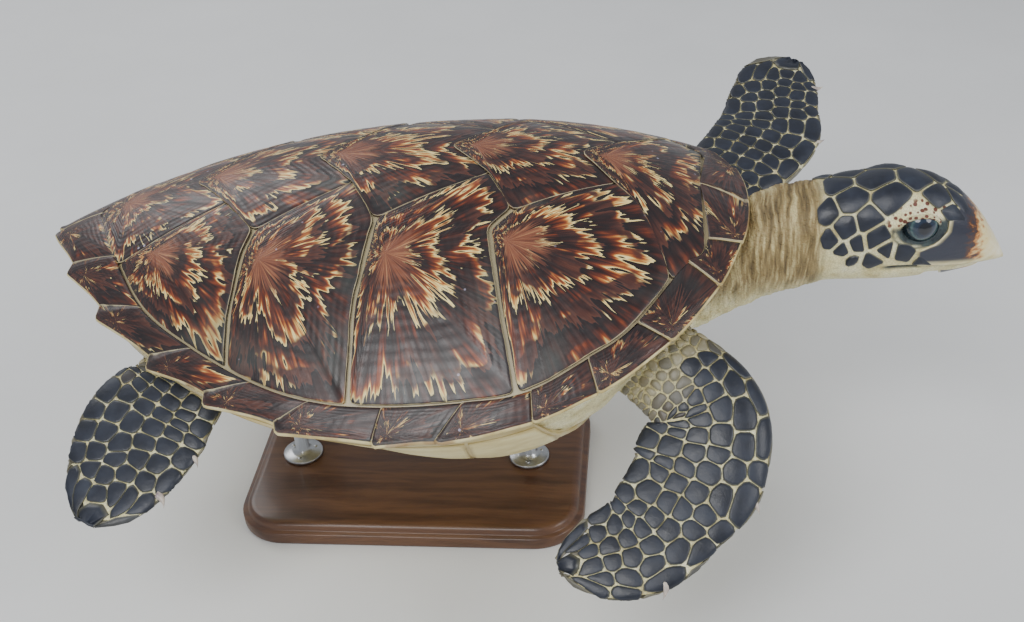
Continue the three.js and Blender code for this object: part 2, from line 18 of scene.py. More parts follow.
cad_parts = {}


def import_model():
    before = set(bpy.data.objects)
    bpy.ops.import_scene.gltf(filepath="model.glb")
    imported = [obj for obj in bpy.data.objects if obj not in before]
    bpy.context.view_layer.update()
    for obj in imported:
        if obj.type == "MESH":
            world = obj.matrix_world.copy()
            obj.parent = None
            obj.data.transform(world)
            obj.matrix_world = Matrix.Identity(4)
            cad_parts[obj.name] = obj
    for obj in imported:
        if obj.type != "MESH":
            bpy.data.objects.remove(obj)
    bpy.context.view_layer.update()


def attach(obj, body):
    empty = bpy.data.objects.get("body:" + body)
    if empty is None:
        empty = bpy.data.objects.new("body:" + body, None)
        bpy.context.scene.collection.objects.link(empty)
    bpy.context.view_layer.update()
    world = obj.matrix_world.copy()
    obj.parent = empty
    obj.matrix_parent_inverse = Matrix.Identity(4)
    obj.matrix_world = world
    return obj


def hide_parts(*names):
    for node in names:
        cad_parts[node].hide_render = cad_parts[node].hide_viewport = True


LOG = logging.getLogger("turtle")
BODY = "root"
STAND_HEIGHT = 0.222  # from the floor to the level of the shell's side rim
MM = 0.001
Array = np.ndarray


# ---------------------------------------------------------------- numbers


def lerp(a: Array | float, b: Array | float, u: Array | float) -> Array | float:
    """The value a share u of the way from a to b."""
    return a + (b - a) * u


def ease(x: Array | float, low: float, high: float) -> Array:
    """A smooth step from 0 below low to 1 above high."""
    u = np.clip((np.asarray(x, float) - low) / (high - low), 0.0, 1.0)
    return u * u * (3 - 2 * u)


def smooth(knots: Sequence[float], values: Sequence[float], at: Array | float) -> Array:
    """A smooth curve through values at rising knots.

    Args:
        knots: Where the values stand.
        values: The values to pass through.
        at: Where to read the curve.

    Returns:
        The curve's values at those places.
    """
    k, v = np.asarray(knots, float), np.asarray(values, float)
    last = len(k) - 1
    t = np.clip(np.asarray(at, float), k[0], k[-1])
    i = np.clip(np.searchsorted(k, t, side="right") - 1, 0, last - 1)
    before, after = np.maximum(np.arange(last + 1) - 1, 0), np.minimum(np.arange(last + 1) + 1, last)
    slope = (v[after] - v[before]) / (k[after] - k[before])
    h = k[i + 1] - k[i]
    u = (t - k[i]) / h
    rise = u * u * (3 - 2 * u)
    tangents = u * (1 - u) ** 2 * slope[i] - u * u * (1 - u) * slope[i + 1]
    return lerp(v[i], v[i + 1], rise) + h * tangents


def unit(vectors: Array) -> Array:
    """Vectors of length 1 along the last axis."""
    return vectors / np.maximum(np.linalg.norm(vectors, axis=-1, keepdims=True), 1e-12)


def rounded_square(angle: Array, power: float) -> tuple[Array, Array]:
    """The unit superellipse at an angle: how far across, and how far up."""
    across, up = np.cos(angle), np.sin(angle)
    bend = 2 / power
    return np.sign(across) * np.abs(across) ** bend, np.sign(up) * np.abs(up) ** bend


def ripple(points: Array, scale: float, seed: int, octaves: int = 3) -> Array:
    """Smooth seeded noise in about -1 to 1, as a sum of turned waves.

    Args:
        points: Places, one row each.
        scale: Waves per metre.
        seed: Which noise.
        octaves: How many layers, each twice as fine.

    Returns:
        One value for each place.
    """
    rng = np.random.default_rng(seed)
    total, weight = np.zeros(len(points)), 0.0
    for octave in range(octaves):
        strength = 0.5**octave
        for _ in range(4):
            way = unit(rng.normal(size=3)) * scale * 2**octave * 2 * math.pi
            total += strength * np.sin(points @ way + rng.uniform(0, 2 * math.pi))
            weight += strength
    return total / (weight * 0.55)


# ---------------------------------------------------------------- meshes


@dataclass
class Patchwork:
    """Vertices, faces and vertex values gathered for one mesh."""

    points: list[Array] = field(default_factory=list)
    faces: list[tuple[int, ...]] = field(default_factory=list)
    values: dict[str, list[Array]] = field(default_factory=dict)
    count: int = 0

    def add(self, points: Array, faces: Iterable[Sequence[int]], **values: Array | float) -> None:
        """Adds a closed or open patch with its own vertices.

        Args:
            points: The patch's vertices.
            faces: Its faces, counted from its own first vertex.
            **values: Vertex values by name, one number or vector for each vertex, or one for all.
        """
        start = self.count
        self.points.append(np.asarray(points, float))
        self.faces.extend(tuple(int(i) + start for i in face) for face in faces)
        for name, value in values.items():
            whole = np.asarray(value, float)
            if whole.ndim == 0 or whole.shape[0] != len(points):
                whole = np.broadcast_to(whole, (len(points),) + whole.shape).copy()
            self.values.setdefault(name, []).append(whole)
        self.count += len(points)

    def mesh(self, name: str) -> bpy.types.Mesh:
        """One mesh of all the patches, with each vertex value as an attribute of that name."""
        mesh = bpy.data.meshes.new(name)
        points = np.concatenate(self.points)
        mesh.from_pydata(points.tolist(), [], self.faces)
        for key, parts in self.values.items():
            whole = np.concatenate(parts)
            kind, slot = ("FLOAT", "value") if whole.ndim == 1 else ("FLOAT_VECTOR", "vector")
            attribute = mesh.attributes.new(key, kind, "POINT")
            attribute.data.foreach_set(slot, whole.astype(np.float32).ravel())
        mesh.update()
        return mesh


def grid_faces(rows: int, columns: int, wrap: bool = False, start: int = 0) -> list[tuple[int, ...]]:
    """Quads between rows of vertices.

    Args:
        rows: Rows of vertices.
        columns: Vertices in a row.
        wrap: Whether a row closes on itself.
        start: The first vertex's number.

    Returns:
        The faces, which face outwards where columns run anticlockwise seen against the rows' way.
    """
    faces = []
    for i in range(rows - 1):
        for j in range(columns if wrap else columns - 1):
            k = (j + 1) % columns
            a, b = start + i * columns, start + (i + 1) * columns
            faces.append((a + j, a + k, b + k, b + j))
    return faces


def loft(sections: Array) -> tuple[Array, list[tuple[int, ...]]]:
    """A closed form through closed sections, capped by a point at each end.

    Args:
        sections: Section points as (sections, points, 3).

    Returns:
        Its vertices and faces.
    """
    rows, columns = sections.shape[:2]
    flat = sections.reshape(-1, 3)
    ends = np.stack([sections[0].mean(0), sections[-1].mean(0)])
    faces = grid_faces(rows, columns, wrap=True)
    first, last = rows * columns, rows * columns + 1
    for j in range(columns):
        k = (j + 1) % columns
        faces.append((first, k, j))
        faces.append((last, (rows - 1) * columns + j, (rows - 1) * columns + k))
    return np.concatenate([flat, ends]), faces


def turned_out(mesh: bpy.types.Mesh) -> bpy.types.Mesh:
    """The mesh with doubles merged and its faces pointing outwards."""
    work = bmesh.new()
    work.from_mesh(mesh)
    bmesh.ops.remove_doubles(work, verts=work.verts, dist=1e-6)
    bmesh.ops.dissolve_degenerate(work, edges=work.edges, dist=1e-7)
    bmesh.ops.recalc_face_normals(work, faces=work.faces)
    work.to_mesh(mesh)
    work.free()
    return mesh


def make_object(name: str, mesh: bpy.types.Mesh, smooth_faces: bool = True) -> bpy.types.Object:
    """A new object at the origin for a mesh."""
    mesh.polygons.foreach_set("use_smooth", np.full(len(mesh.polygons), smooth_faces))
    thing = bpy.data.objects.new(name, mesh)
    bpy.context.scene.collection.objects.link(thing)
    return thing


def coordinates(mesh: bpy.types.Mesh) -> Array:
    """The vertices' places."""
    flat = np.zeros(len(mesh.vertices) * 3)
    mesh.vertices.foreach_get("co", flat)
    return flat.reshape(-1, 3)


def set_coordinates(mesh: bpy.types.Mesh, points: Array) -> None:
    """Moves every vertex to its new place."""
    mesh.vertices.foreach_set("co", np.asarray(points, np.float32).ravel())
    mesh.update()


def vertex_normals(mesh: bpy.types.Mesh) -> Array:
    """The vertices' normals."""
    flat = np.zeros(len(mesh.vertices) * 3)
    mesh.vertex_normals.foreach_get("vector", flat)
    return flat.reshape(-1, 3)


def set_value(mesh: bpy.types.Mesh, name: str, values: Array) -> None:
    """Writes one number for each vertex as an attribute."""
    attribute = mesh.attributes.get(name) or mesh.attributes.new(name, "FLOAT", "POINT")
    attribute.data.foreach_set("value", np.asarray(values, np.float32))


def baked(thing: bpy.types.Object, mesh_name: str) -> bpy.types.Object:
    """Takes the evaluated shape as a plain mesh and removes the modifiers."""
    graph = bpy.context.evaluated_depsgraph_get()
    result = bpy.data.meshes.new_from_object(thing.evaluated_get(graph), preserve_all_data_layers=True,
                                             depsgraph=graph)
    result.name = mesh_name
    thing.modifiers.clear()
    thing.data = result
    return thing


# ---------------------------------------------------------------- the animal's form


@dataclass(frozen=True)
class ShellForm:
    """The outline and heights of the upper shell; s runs from 0 at its front edge to 1 at its rear tip."""

    length: float = 0.600
    half_width: float = 0.231
    widest_at: float = 0.428
    crest_height: float = 0.131
    crest_at: float = 0.384
    front_rise: float = 0.077
    rear_rise: float = 0.049
    dome_power: float = 1.9
    tooth_front: float = 0.0015
    tooth_rear: float = 0.009
    tooth_root: float = 0.65
    rim_thickness: float = 0.0035
    rim_seams: tuple[float, ...] = (
        0, 0.012, 0.043, 0.105, 0.193, 0.272, 0.391, 0.472, 0.602, 0.705, 0.795, 0.89, 0.956, 1,
    )

    def x(self, s: Array | float) -> Array | float:
        """Where station s lies along X."""
        return self.length * (0.5 - np.asarray(s, float))

    def s(self, x: Array | float) -> Array:
        """The station at x."""
        return np.clip(0.5 - np.asarray(x, float) / self.length, 0, 1)

    def outline(self, s: Array | float) -> Array:
        """Half the shell's width at station s."""
        s = np.clip(np.asarray(s, float), 0, 1)
        front = np.clip((self.widest_at - s) / self.widest_at, 0, 1)
        rear = np.clip((s - self.widest_at) / (1 - self.widest_at), 0, 1)
        return self.half_width * np.where(
            s < self.widest_at, (1 - front**2.3) ** (1 / 2.05), (1 - rear**2.1) ** (1 / 1.26)
        )

    def rim(self, s: Array | float) -> Array:
        """The rim's height at station s: it rises over the neck and over the tail."""
        s = np.asarray(s, float)
        front, rear = np.clip(1 - 2 * s, 0, 1), np.clip(2 * s - 1, 0, 1)
        return self.front_rise * front**2 + self.rear_rise * rear**2

    def crest(self, s: Array | float) -> Array:
        """The height of the shell's middle line."""
        s = np.asarray(s, float)
        front = np.clip((self.crest_at - s) / self.crest_at, 0, 1)
        rear = np.clip((s - self.crest_at) / (1 - self.crest_at), 0, 1)
        ahead = self.front_rise + (self.crest_height - self.front_rise) * (1 - front**2.26)
        behind = self.rear_rise + (self.crest_height - self.rear_rise) * (1 - rear**2)
        return np.where(s < self.crest_at, ahead, behind)

    def dome(self, s: Array, across: Array) -> Array:
        """The top's height where across is the share of the half width."""
        bulge = 1 - np.clip(np.abs(across), 0, 1) ** self.dome_power
        return self.rim(s) + (self.crest(s) - self.rim(s)) * bulge

    def edge(self, s: Array, out: Array | float = 0.0) -> tuple[Array, Array]:
        """The right-hand rim's point at s, moved straight out of the outline.

        Args:
            s: The stations.
            out: How far outwards, in metres.

        Returns:
            X, and the distance from the middle plane.
        """
        step = 0.004
        a, b = np.clip(s - step, 0, 1), np.clip(s + step, 0, 1)
        along = unit(np.stack([self.x(b) - self.x(a), self.outline(b) - self.outline(a)], -1))
        normal = np.stack([along[..., 1], -along[..., 0]], -1)
        normal = np.where(normal[..., 1:2] < 0, -normal, normal)
        middle = (s <= 0.002) | (s >= 0.998)
        normal_x = np.where(middle, np.sign(self.x(s)), normal[..., 0])
        normal_y = np.where(middle, 0.0, normal[..., 1])
        return self.x(s) + normal_x * out, self.outline(s) + normal_y * out

    def tooth(self, s: Array, in_plate: Array) -> Array:
        """How far the toothed rim stands out at s, a share in_plate of the way along its plate."""
        size = lerp(self.tooth_front, self.tooth_rear, ease(s, 0.3, 0.8))
        drop = ease(in_plate, 0.95, 1.0)
        return size * (np.asarray(in_plate) ** 2 * (1 - drop) - self.tooth_root)


@dataclass(frozen=True)
class BellyForm:
    """The bowl below the rim: the belly shell's outer face, and the flesh inside it."""

    shell: ShellForm
    depth: float = 0.075
    end_rise: float = 0.022
    power_front: float = 6.5
    power_rear: float = 2.6
    front: float = 0.215
    rear: float = -0.225
    half_width: float = 0.128
    thickness: float = 0.007

    def power(self, x: Array) -> Array:
        """How flat the bowl's floor is at x."""
        return lerp(self.power_rear, self.power_front, ease(x, -0.030, 0.130))

    def height(self, s: Array, rho: Array, reach: Array | float, lift: float) -> tuple[Array, Array, Array]:
        """A point of the bowl along the spoke to station s of the rim.

        Args:
            s: The rim's station.
            rho: The share of the way out to the rim.
            reach: The bowl's outline as a share of the shell's.
            lift: How far the floor is raised.

        Returns:
            X, distance from the middle plane, and height.
        """
        x = self.shell.x(s) * reach * rho
        y = self.shell.outline(s) * reach * rho
        away = np.abs(x) / (self.shell.length / 2)
        floor = -self.depth + self.end_rise * away**3 + lift
        edge = self.shell.rim(s) * reach
        return x, y, edge - (edge - floor) * (1 - rho ** self.power(x))

    def outline(self, x: Array) -> Array:
        """Half the belly shell's width at x, with its bridges out to the rim."""
        middle, half_length = (self.front + self.rear) / 2, (self.front - self.rear) / 2
        u = np.clip(np.abs(x - middle) / half_length, 0, 1)
        lobe = self.half_width * np.sqrt(1 - u**2.6)
        in_bridge = ease(x, -0.150, -0.080) * (1 - ease(x, 0.110, 0.205))
        return lobe + (self.shell.half_width + 0.010 - lobe) * in_bridge

    def flesh_reach(self, s: Array) -> Array:
        """How far the flesh reaches out below the rim, as a share of the shell's outline."""
        return lerp(0.968, 0.87, ease(np.abs(2 * s - 1), 0.68, 1.0))


@dataclass(frozen=True)
class Station:
    """A section of a form along X: its centre's height and its half sizes, in millimetres."""

    x: float
    z: float
    tall: float
    wide: float


@dataclass(frozen=True)
class HeadForm:
    """The neck and head as one form, the lower jaw, the mouth's line and the eyes' places."""

    stations: tuple[Station, ...] = (
        Station(225, 6, 48, 72), Station(262, 15, 46, 59), Station(295, 27, 43.5, 46),
        Station(322, 39, 45, 41), Station(346, 45, 43.5, 38.5), Station(364, 50, 43, 38),
        Station(390, 54, 44.5, 39.5), Station(415, 58, 46, 40), Station(446, 57, 41, 36),
        Station(470, 51, 33, 28.5), Station(486, 45, 22, 19), Station(499, 37, 10, 9.5),
        Station(508, 29, 1, 1.5),
    )
    jaw_stations: tuple[Station, ...] = (
        Station(385, 40, 30, 36), Station(412, 42, 30, 37), Station(432, 42, 29, 32.5),
        Station(452, 42, 27, 25), Station(472, 41, 23, 16), Station(486, 38, 17, 7.5),
        Station(492, 34, 8, 2),
    )
    squareness: float = 2.35
    turn: float = math.radians(-3)
    turn_from: float = 0.362
    mouth_corner: float = 0.410
    mouth_tip: float = 0.510
    mouth_corner_z: float = 0.036
    mouth_tip_z: float = 0.027
    mouth_arch: float = 0.005
    gape: float = 0.0018
    eye_x: float = 0.433
    eye_z: float = 0.0725
    eye_radius: float = 0.017
    eye_out: float = 0.024

    def section(self, stations: Sequence[Station], x: Array) -> tuple[Array, Array, Array, Array]:
        """The sections at x.

        Args:
            stations: The form's stations.
            x: Places along X, in metres.

        Returns:
            The centre's Y and Z, the half height and the half width.
        """
        knots = [station.x * MM for station in stations]
        read = [smooth(knots, [getattr(station, name) * MM for station in stations], x)
                for name in ("z", "tall", "wide")]
        y = math.tan(self.turn) * np.maximum(np.asarray(x, float) - self.turn_from, 0)
        return y, read[0], read[1], read[2]

    def point(self, x: Array, angle: Array, grow: Array | float = 0.0,
              stations: Sequence[Station] | None = None) -> Array:
        """Points of the form: angle 0 is the left side, a quarter turn is the top.

        Args:
            x: Places along X.
            angle: The angles round the section.
            grow: How far outside the form.
            stations: The form's stations, or those of the head.

        Returns:
            The points.
        """
        y, z, tall, wide = self.section(stations or self.stations, x)
        across, up = rounded_square(angle, self.squareness)
        return np.stack([x + 0 * angle, y + (wide + grow) * across, z + (tall + grow) * up], -1)

    def mouth(self, x: Array) -> Array:
        """The height of the line where the jaws meet."""
        u = np.clip((np.asarray(x) - self.mouth_corner) / (self.mouth_tip - self.mouth_corner), 0, 1)
        return lerp(self.mouth_corner_z, self.mouth_tip_z, u) + self.mouth_arch * 4 * u * (1 - u)

    def middle(self, x: float) -> float:
        """The face's own middle plane at x, which turns a little to the animal's right."""
        return math.tan(self.turn) * max(x - self.turn_from, 0)


@dataclass(frozen=True)
class FlipperForm:
    """A flipper: a flat blade along a curved line in a plane that slopes down from the body."""

    name: str
    side: int
    drop: float
    line: tuple[tuple[float, float], ...]
    width: tuple[float, ...]
    thickness: tuple[float, ...]
    shoulder_y: float
    shoulder_z: float
    claws: tuple[float, ...]
    tip: float = 0.12
    stations: tuple[float, ...] = (0, 0.22, 0.45, 0.68, 0.85, 1)

    def frame(self, t: Array) -> tuple[Array, Array, Array]:
        """The line's centre, the way to the leading edge and the way up out of the blade.

        Args:
            t: Shares of the length.

        Returns:
            Three arrays of vectors.
        """
        t = np.atleast_1d(np.asarray(t, float))
        drop = math.radians(self.drop)
        out = np.array([0, self.side * math.cos(drop), -math.sin(drop)])
        upward = np.array([0, self.side * math.sin(drop), math.cos(drop)])
        ahead = np.array([1.0, 0, 0])

        def read(v: Array) -> Array:
            """The line in its own plane at shares v."""
            xs, reach = ([point[i] * MM for point in self.line] for i in (0, 1))
            return np.stack([smooth(self.stations, xs, v), smooth(self.stations, reach, v)], -1)

        here = read(t)
        along = unit(read(np.minimum(t + 0.02, 1)) - read(np.maximum(t - 0.02, 0)))
        origin = np.array([0, self.side * self.shoulder_y, self.shoulder_z])
        centre = origin + here[:, :1] * ahead + here[:, 1:] * out
        forward = along[:, 1:] * ahead - along[:, :1] * out
        return centre, forward, np.broadcast_to(upward, centre.shape)

    def sizes(self, t: Array) -> tuple[Array, Array]:
        """Half the blade's width and half its thickness, rounded off at the tip."""
        from_tip = np.clip((1 - np.asarray(t, float)) / self.tip, 0, 1)
        rounding = np.sqrt(from_tip * (2 - from_tip))
        half = smooth(self.stations, [w * MM for w in self.width], t) / 2
        thick = smooth(self.stations, [w * MM for w in self.thickness], t) / 2
        return half * rounding, thick * rounding

    def point(self, t: Array, angle: Array, grow: float = 0.0) -> Array:
        """Points of the blade: angle 0 is the leading edge, a quarter turn is the upper face."""
        centre, forward, upward = self.frame(t)
        half, thick = self.sizes(t)
        lead, rise = np.cos(angle), np.sin(angle)
        fullness = 0.72 + 0.28 * lead
        half, thick = np.maximum(half + grow, 0), np.maximum(thick * fullness + grow, 0)
        return centre + forward * (half * lead)[:, None] + upward * (thick * rise)[:, None]


class Limb(Enum):
    """The four flippers."""

    FORE_RIGHT = "flipper_front_right"
    FORE_LEFT = "flipper_front_left"
    HIND_RIGHT = "flipper_hind_right"
    HIND_LEFT = "flipper_hind_left"


FORE_SIZES = dict(width=(66, 84, 102, 90, 80, 62), thickness=(62, 42, 23, 13, 9, 5),
                  shoulder_y=0.135, shoulder_z=0.005, claws=(0.5, 0.84))
HIND_SIZES = dict(width=(60, 86, 110, 100, 82, 52), thickness=(46, 28, 16, 11, 8, 4),
                  shoulder_y=0.130, shoulder_z=0.0, claws=(0.55, 0.78))
FLIPPERS: tuple[FlipperForm, ...] = (
    FlipperForm(Limb.FORE_RIGHT.value, -1, 34,
                ((188, -34), (262, 28), (258, 78), (239, 110), (212, 139), (152, 157)), **FORE_SIZES),
    FlipperForm(Limb.FORE_LEFT.value, 1, -18,
                ((188, -34), (266, 3), (325, 72), (337, 122), (345, 157), (363, 188)), **FORE_SIZES),
    FlipperForm(Limb.HIND_RIGHT.value, -1, 25,
                ((-150, -34), (-156, 14), (-175, 49), (-188, 88), (-196, 110), (-209, 140)), **HIND_SIZES),
    FlipperForm(Limb.HIND_LEFT.value, 1, 52,
                ((-150, -34), (-166, 8), (-182, 45), (-196, 82), (-206, 112), (-216, 144)), **HIND_SIZES),
)


@dataclass(frozen=True)
class TailForm:
    """The tail: a short cone tucked under the rear of the shell."""

    start: float = -0.190
    end: float = -0.262
    z: float = -0.0195
    tip_z: float = 0.006
    radius: float = 0.018
    tip_radius: float = 0.004


# ---------------------------------------------------------------- finishes

Socket = bpy.types.NodeSocket
Stops = Sequence[tuple[float, tuple[int, int, int]]]


def srgb(red: int, green: int, blue: int) -> tuple[float, float, float, float]:
    """A screen colour of 0 to 255 as the linear one that shaders take."""
    linear = [c / 255 / 12.92 if c <= 10 else ((c / 255 + 0.055) / 1.055) ** 2.4 for c in (red, green, blue)]
    return (*linear, 1.0)


def new_node(
    tree: bpy.types.NodeTree, kind: str, inputs: dict[int | str, object] | None, settings: dict[str, object]
) -> bpy.types.Node:
    """A new node in a tree.

    Args:
        tree: The shader or geometry tree.
        kind: The node's full type.
        inputs: Numbers, colours or sockets by input.
        settings: The node's own settings.

    Returns:
        The node.
    """
    made = tree.nodes.new(kind)
    for key, value in settings.items():
        setattr(made, key, value)
    for key, value in (inputs or {}).items():
        if isinstance(value, Socket):
            tree.links.new(value, made.inputs[key])
        else:
            made.inputs[key].default_value = value
    return made


class Shader:
    """One material's node tree, with short calls for the nodes that these finishes use."""

    def __init__(self, name: str, roughness: float, **constants: float) -> None:
        """Starts a principled material.

        Args:
            name: The material's name.
            roughness: The shader's roughness where nothing is linked to it.
            **constants: Numbers for the shader's own sockets, with _ for a space.
        """
        self.material = bpy.data.materials.new(name)
        self.material.use_nodes = True
        self.tree = self.material.node_tree
        self.surface = self.tree.nodes["Principled BSDF"]
        self.surface.inputs["Roughness"].default_value = roughness
        for key, value in constants.items():
            self.surface.inputs[key.replace("_", " ")].default_value = value

    def node(
        self, kind: str, inputs: dict[int | str, object] | None = None, **settings: object
    ) -> bpy.types.Node:
        """A new node.

        Args:
            kind: Its type, without the leading ShaderNode.
            inputs: Numbers, colours or sockets by input.
            **settings: Its own settings.

        Returns:
            The node.
        """
        return new_node(self.tree, "ShaderNode" + kind, inputs, settings)

    def place(self) -> Socket:
        """Object coordinates."""
        return self.node("TexCoord").outputs["Object"]

    def value(self, name: str) -> Socket:
        """A vertex number by name."""
        return self.node("Attribute", attribute_name=name).outputs["Fac"]

    def vector(self, name: str) -> Socket:
        """A vertex vector by name."""
        return self.node("Attribute", attribute_name=name).outputs["Vector"]

    def sum(
        self, operation: str, a: Socket | float, b: Socket | float = 0.0, c: Socket | float = 0.0
    ) -> Socket:
        """The result of a Math node."""
        return self.node("Math", {0: a, 1: b, 2: c}, operation=operation).outputs[0]

    def vmath(self, operation: str, a: Socket | tuple, b: Socket | tuple = (0, 0, 0)) -> Socket:
        """The result of a Vector Math node."""
        return self.node("VectorMath", {0: a, 1: b}, operation=operation).outputs[0]

    def scaled(self, vector: Socket, x: float, y: float, z: float) -> Socket:
        """A vector with each part multiplied."""
        return self.vmath("MULTIPLY", vector, (x, y, z))

    def noise(self, vector: Socket, scale: float, detail: float = 3.0, roughness: float = 0.5) -> Socket:
        """Noise of 0 to 1."""
        inputs = {"Vector": vector, "Scale": scale, "Detail": detail, "Roughness": roughness}
        return self.node("TexNoise", inputs).outputs["Fac"]

    def cells(self, vector: Socket, scale: float, feature: str = "F1") -> Socket:
        """Voronoi distance."""
        cells = {"Vector": vector, "Scale": scale}
        return self.node("TexVoronoi", cells, feature=feature).outputs["Distance"]

    def span(self, value: Socket, low: float, high: float, start: float = 0.0, end: float = 1.0) -> Socket:
        """A value from low..high eased to start..end."""
        inputs = {"Value": value, "From Min": low, "From Max": high, "To Min": start, "To Max": end}
        return self.node("MapRange", inputs, interpolation_type="SMOOTHSTEP").outputs["Result"]

    def ramp(self, value: Socket, stops: Stops) -> Socket:
        """A colour by value through screen colours."""
        made = self.node("ValToRGB", {0: value})
        elements = made.color_ramp.elements
        while len(elements) < len(stops):
            elements.new(0.5)
        for element, (at, colour) in zip(elements, stops):
            element.position = at
            element.color = srgb(*colour)
        return made.outputs["Color"]

    def mix(self, share: Socket | float, a: Socket | tuple, b: Socket | tuple, how: str = "MIX") -> Socket:
        """Two colours mixed."""
        made = self.node("Mix", data_type="RGBA", blend_type=how)
        for key, value in ((0, share), (6, a), (7, b)):
            if isinstance(value, Socket):
                self.tree.links.new(value, made.inputs[key])
            else:
                made.inputs[key].default_value = value
        return made.outputs[2]

    def colour(self, colour: Socket) -> None:
        """Links the base colour."""
        self.tree.links.new(colour, self.surface.inputs["Base Color"])

    def roughness(self, value: Socket) -> None:
        """Links the roughness."""
        self.tree.links.new(value, self.surface.inputs["Roughness"])

    def bump(self, height: Socket, distance: float, strength: float = 1.0) -> None:
        """Adds relief on top of what is there."""
        inputs: dict[int | str, object] = {"Height": height, "Distance": distance, "Strength": strength}
        socket = self.surface.inputs["Normal"]
        if socket.links:
            inputs["Normal"] = socket.links[0].from_socket
        made = self.node("Bump", inputs)
        self.tree.links.new(made.outputs["Normal"], socket)


@dataclass(frozen=True)
class Tortoiseshell:
    """Horn plates with flames that fan out from each plate's oldest point."""

    bands: float = 2.7
    flame_scale: float = 6.0
    spike_scale: float = 15.0
    streak_scale: float = 36.0

    def make(self) -> bpy.types.Material:
        """The plates' material: vertex values give the way out, the share of it, and the plate's seed."""
        shader = Shader("tortoiseshell", 0.38, Coat_Weight=0.12, Coat_Roughness=0.28)
        spoke, seed = shader.vector("spoke"), shader.value("seed")
        parts = shader.node("SeparateXYZ", {0: spoke})
        ring = parts.outputs["Z"]
        way = shader.vmath("NORMALIZE", shader.scaled(spoke, 1, 1, 0))
        lift = shader.node("CombineXYZ", {"Z": shader.sum("MULTIPLY_ADD", seed, 17.0, ring)}).outputs[0]

        def fan(scale: float, along: float, detail: float) -> Socket:
            """Noise drawn out along the spokes."""
            ring_part = shader.node("CombineXYZ", {"Z": shader.sum("MULTIPLY", ring, along)}).outputs[0]
            place = shader.vmath("ADD", shader.scaled(way, scale, scale, 0),
                                 shader.vmath("ADD", lift, ring_part))
            return shader.noise(place, 1.0, detail)

        coarse = fan(1.6, 0.6, 2.0)
        tongue = shader.sum("ABSOLUTE", shader.sum("SUBTRACT", fan(self.flame_scale, 1.2, 1.0), 0.5))
        spike = shader.sum("ABSOLUTE", shader.sum("SUBTRACT", fan(self.spike_scale, 2.2, 1.0), 0.5))
        streak = shader.sum("ABSOLUTE", shader.sum("SUBTRACT", fan(self.streak_scale, 2.5, 2.0), 0.5))
        phase = shader.sum("MULTIPLY", ring, self.bands)
        phase = shader.sum("MULTIPLY_ADD", coarse, 2.4, phase)
        phase = shader.sum("MULTIPLY_ADD", tongue, 1.9, phase)
        phase = shader.sum("MULTIPLY_ADD", spike, 2.3, phase)
        phase = shader.sum("MULTIPLY_ADD", streak, 0.7, phase)
        band = shader.sum("FRACT", phase)
        flame = shader.ramp(band, (
            (0.0, (20, 12, 14)), (0.24, (42, 18, 15)), (0.50, (88, 36, 20)), (0.66, (138, 64, 28)),
            (0.76, (198, 132, 62)), (0.84, (238, 206, 124)), (0.92, (248, 230, 164)), (0.94, (20, 12, 14)),
        ))
        quiet = shader.ramp(band, (
            (0.0, (22, 15, 18)), (0.4, (46, 24, 22)), (0.72, (72, 38, 30)), (0.9, (88, 50, 38)),
            (0.94, (26, 18, 22)),
        ))
        sparse = shader.sum("MULTIPLY_ADD", shader.value("margin"), -0.12, fan(2.6, 3.4, 2.0))
        patch = shader.span(sparse, 0.45, 0.52)
        colour = shader.mix(patch, quiet, flame)
        areola = shader.ramp(fan(14.0, 0.5, 3.0),
                             ((0.3, (92, 46, 32)), (0.52, (132, 78, 54)), (0.7, (176, 124, 84))))
        colour = shader.mix(shader.span(shader.sum("MULTIPLY_ADD", spike, 0.8, ring), 0.36, 0.22),
                            colour, areola)
        place = shader.place()
        # Painted sheen: a patchy greenish grey laid over the plates towards their margins.
        painted_sheen = shader.sum("MULTIPLY", shader.span(shader.noise(place, 14.0, 3.0), 0.5, 0.72),
                          shader.span(ring, 0.55, 0.95))
        colour = shader.mix(shader.sum("MULTIPLY", painted_sheen, 0.55), colour, srgb(70, 78, 74))
        wander = shader.sum("MULTIPLY_ADD", shader.noise(place, 120.0, 2.0), 0.0010, shader.value("edge"))
        colour = shader.mix(shader.span(wander, 0.0070, 0.0022, 0.0, 0.45), colour, srgb(34, 28, 30))
        colour = shader.mix(shader.span(wander, 0.0012, 0.0006, 0.0, 0.75), colour, srgb(206, 192, 150))
        specks = shader.span(shader.cells(place, 95.0), 0.13, 0.07)
        speckled = shader.span(shader.noise(place, 22.0, 1.0), 0.60, 0.68)
        colour = shader.mix(shader.sum("MULTIPLY", specks, shader.sum("MULTIPLY", speckled, 0.75)), colour,
                            srgb(186, 178, 200))
        pale_grain = shader.noise(place, 60.0, 4.0)
        pale = shader.ramp(pale_grain,
                           ((0.3, (176, 152, 92)), (0.55, (212, 196, 138)), (0.75, (228, 218, 172))))
        stain = shader.span(shader.noise(place, 19.0, 2.0), 0.60, 0.66)
        pale = shader.mix(shader.sum("MULTIPLY", stain, 0.55), pale, srgb(120, 62, 44))
        colour = shader.mix(shader.span(shader.value("under"), 0.35, 0.65), colour, pale)
        shader.colour(colour)
        shader.roughness(shader.span(fan(20.0, 2.0, 3.0), 0.3, 0.7, 0.30, 0.50))
        shader.bump(fan(60.0, 0.4, 2.0), 0.0003, 0.35)
        rings = shader.sum("SINE", shader.sum("MULTIPLY",
                                              shader.sum("MULTIPLY_ADD", coarse, 0.08, ring), 95.0))
        shader.bump(rings, 0.0003, 0.2)
        shader.bump(shader.noise(place, 260.0, 3.0), 0.0003, 0.4)
        return shader.material


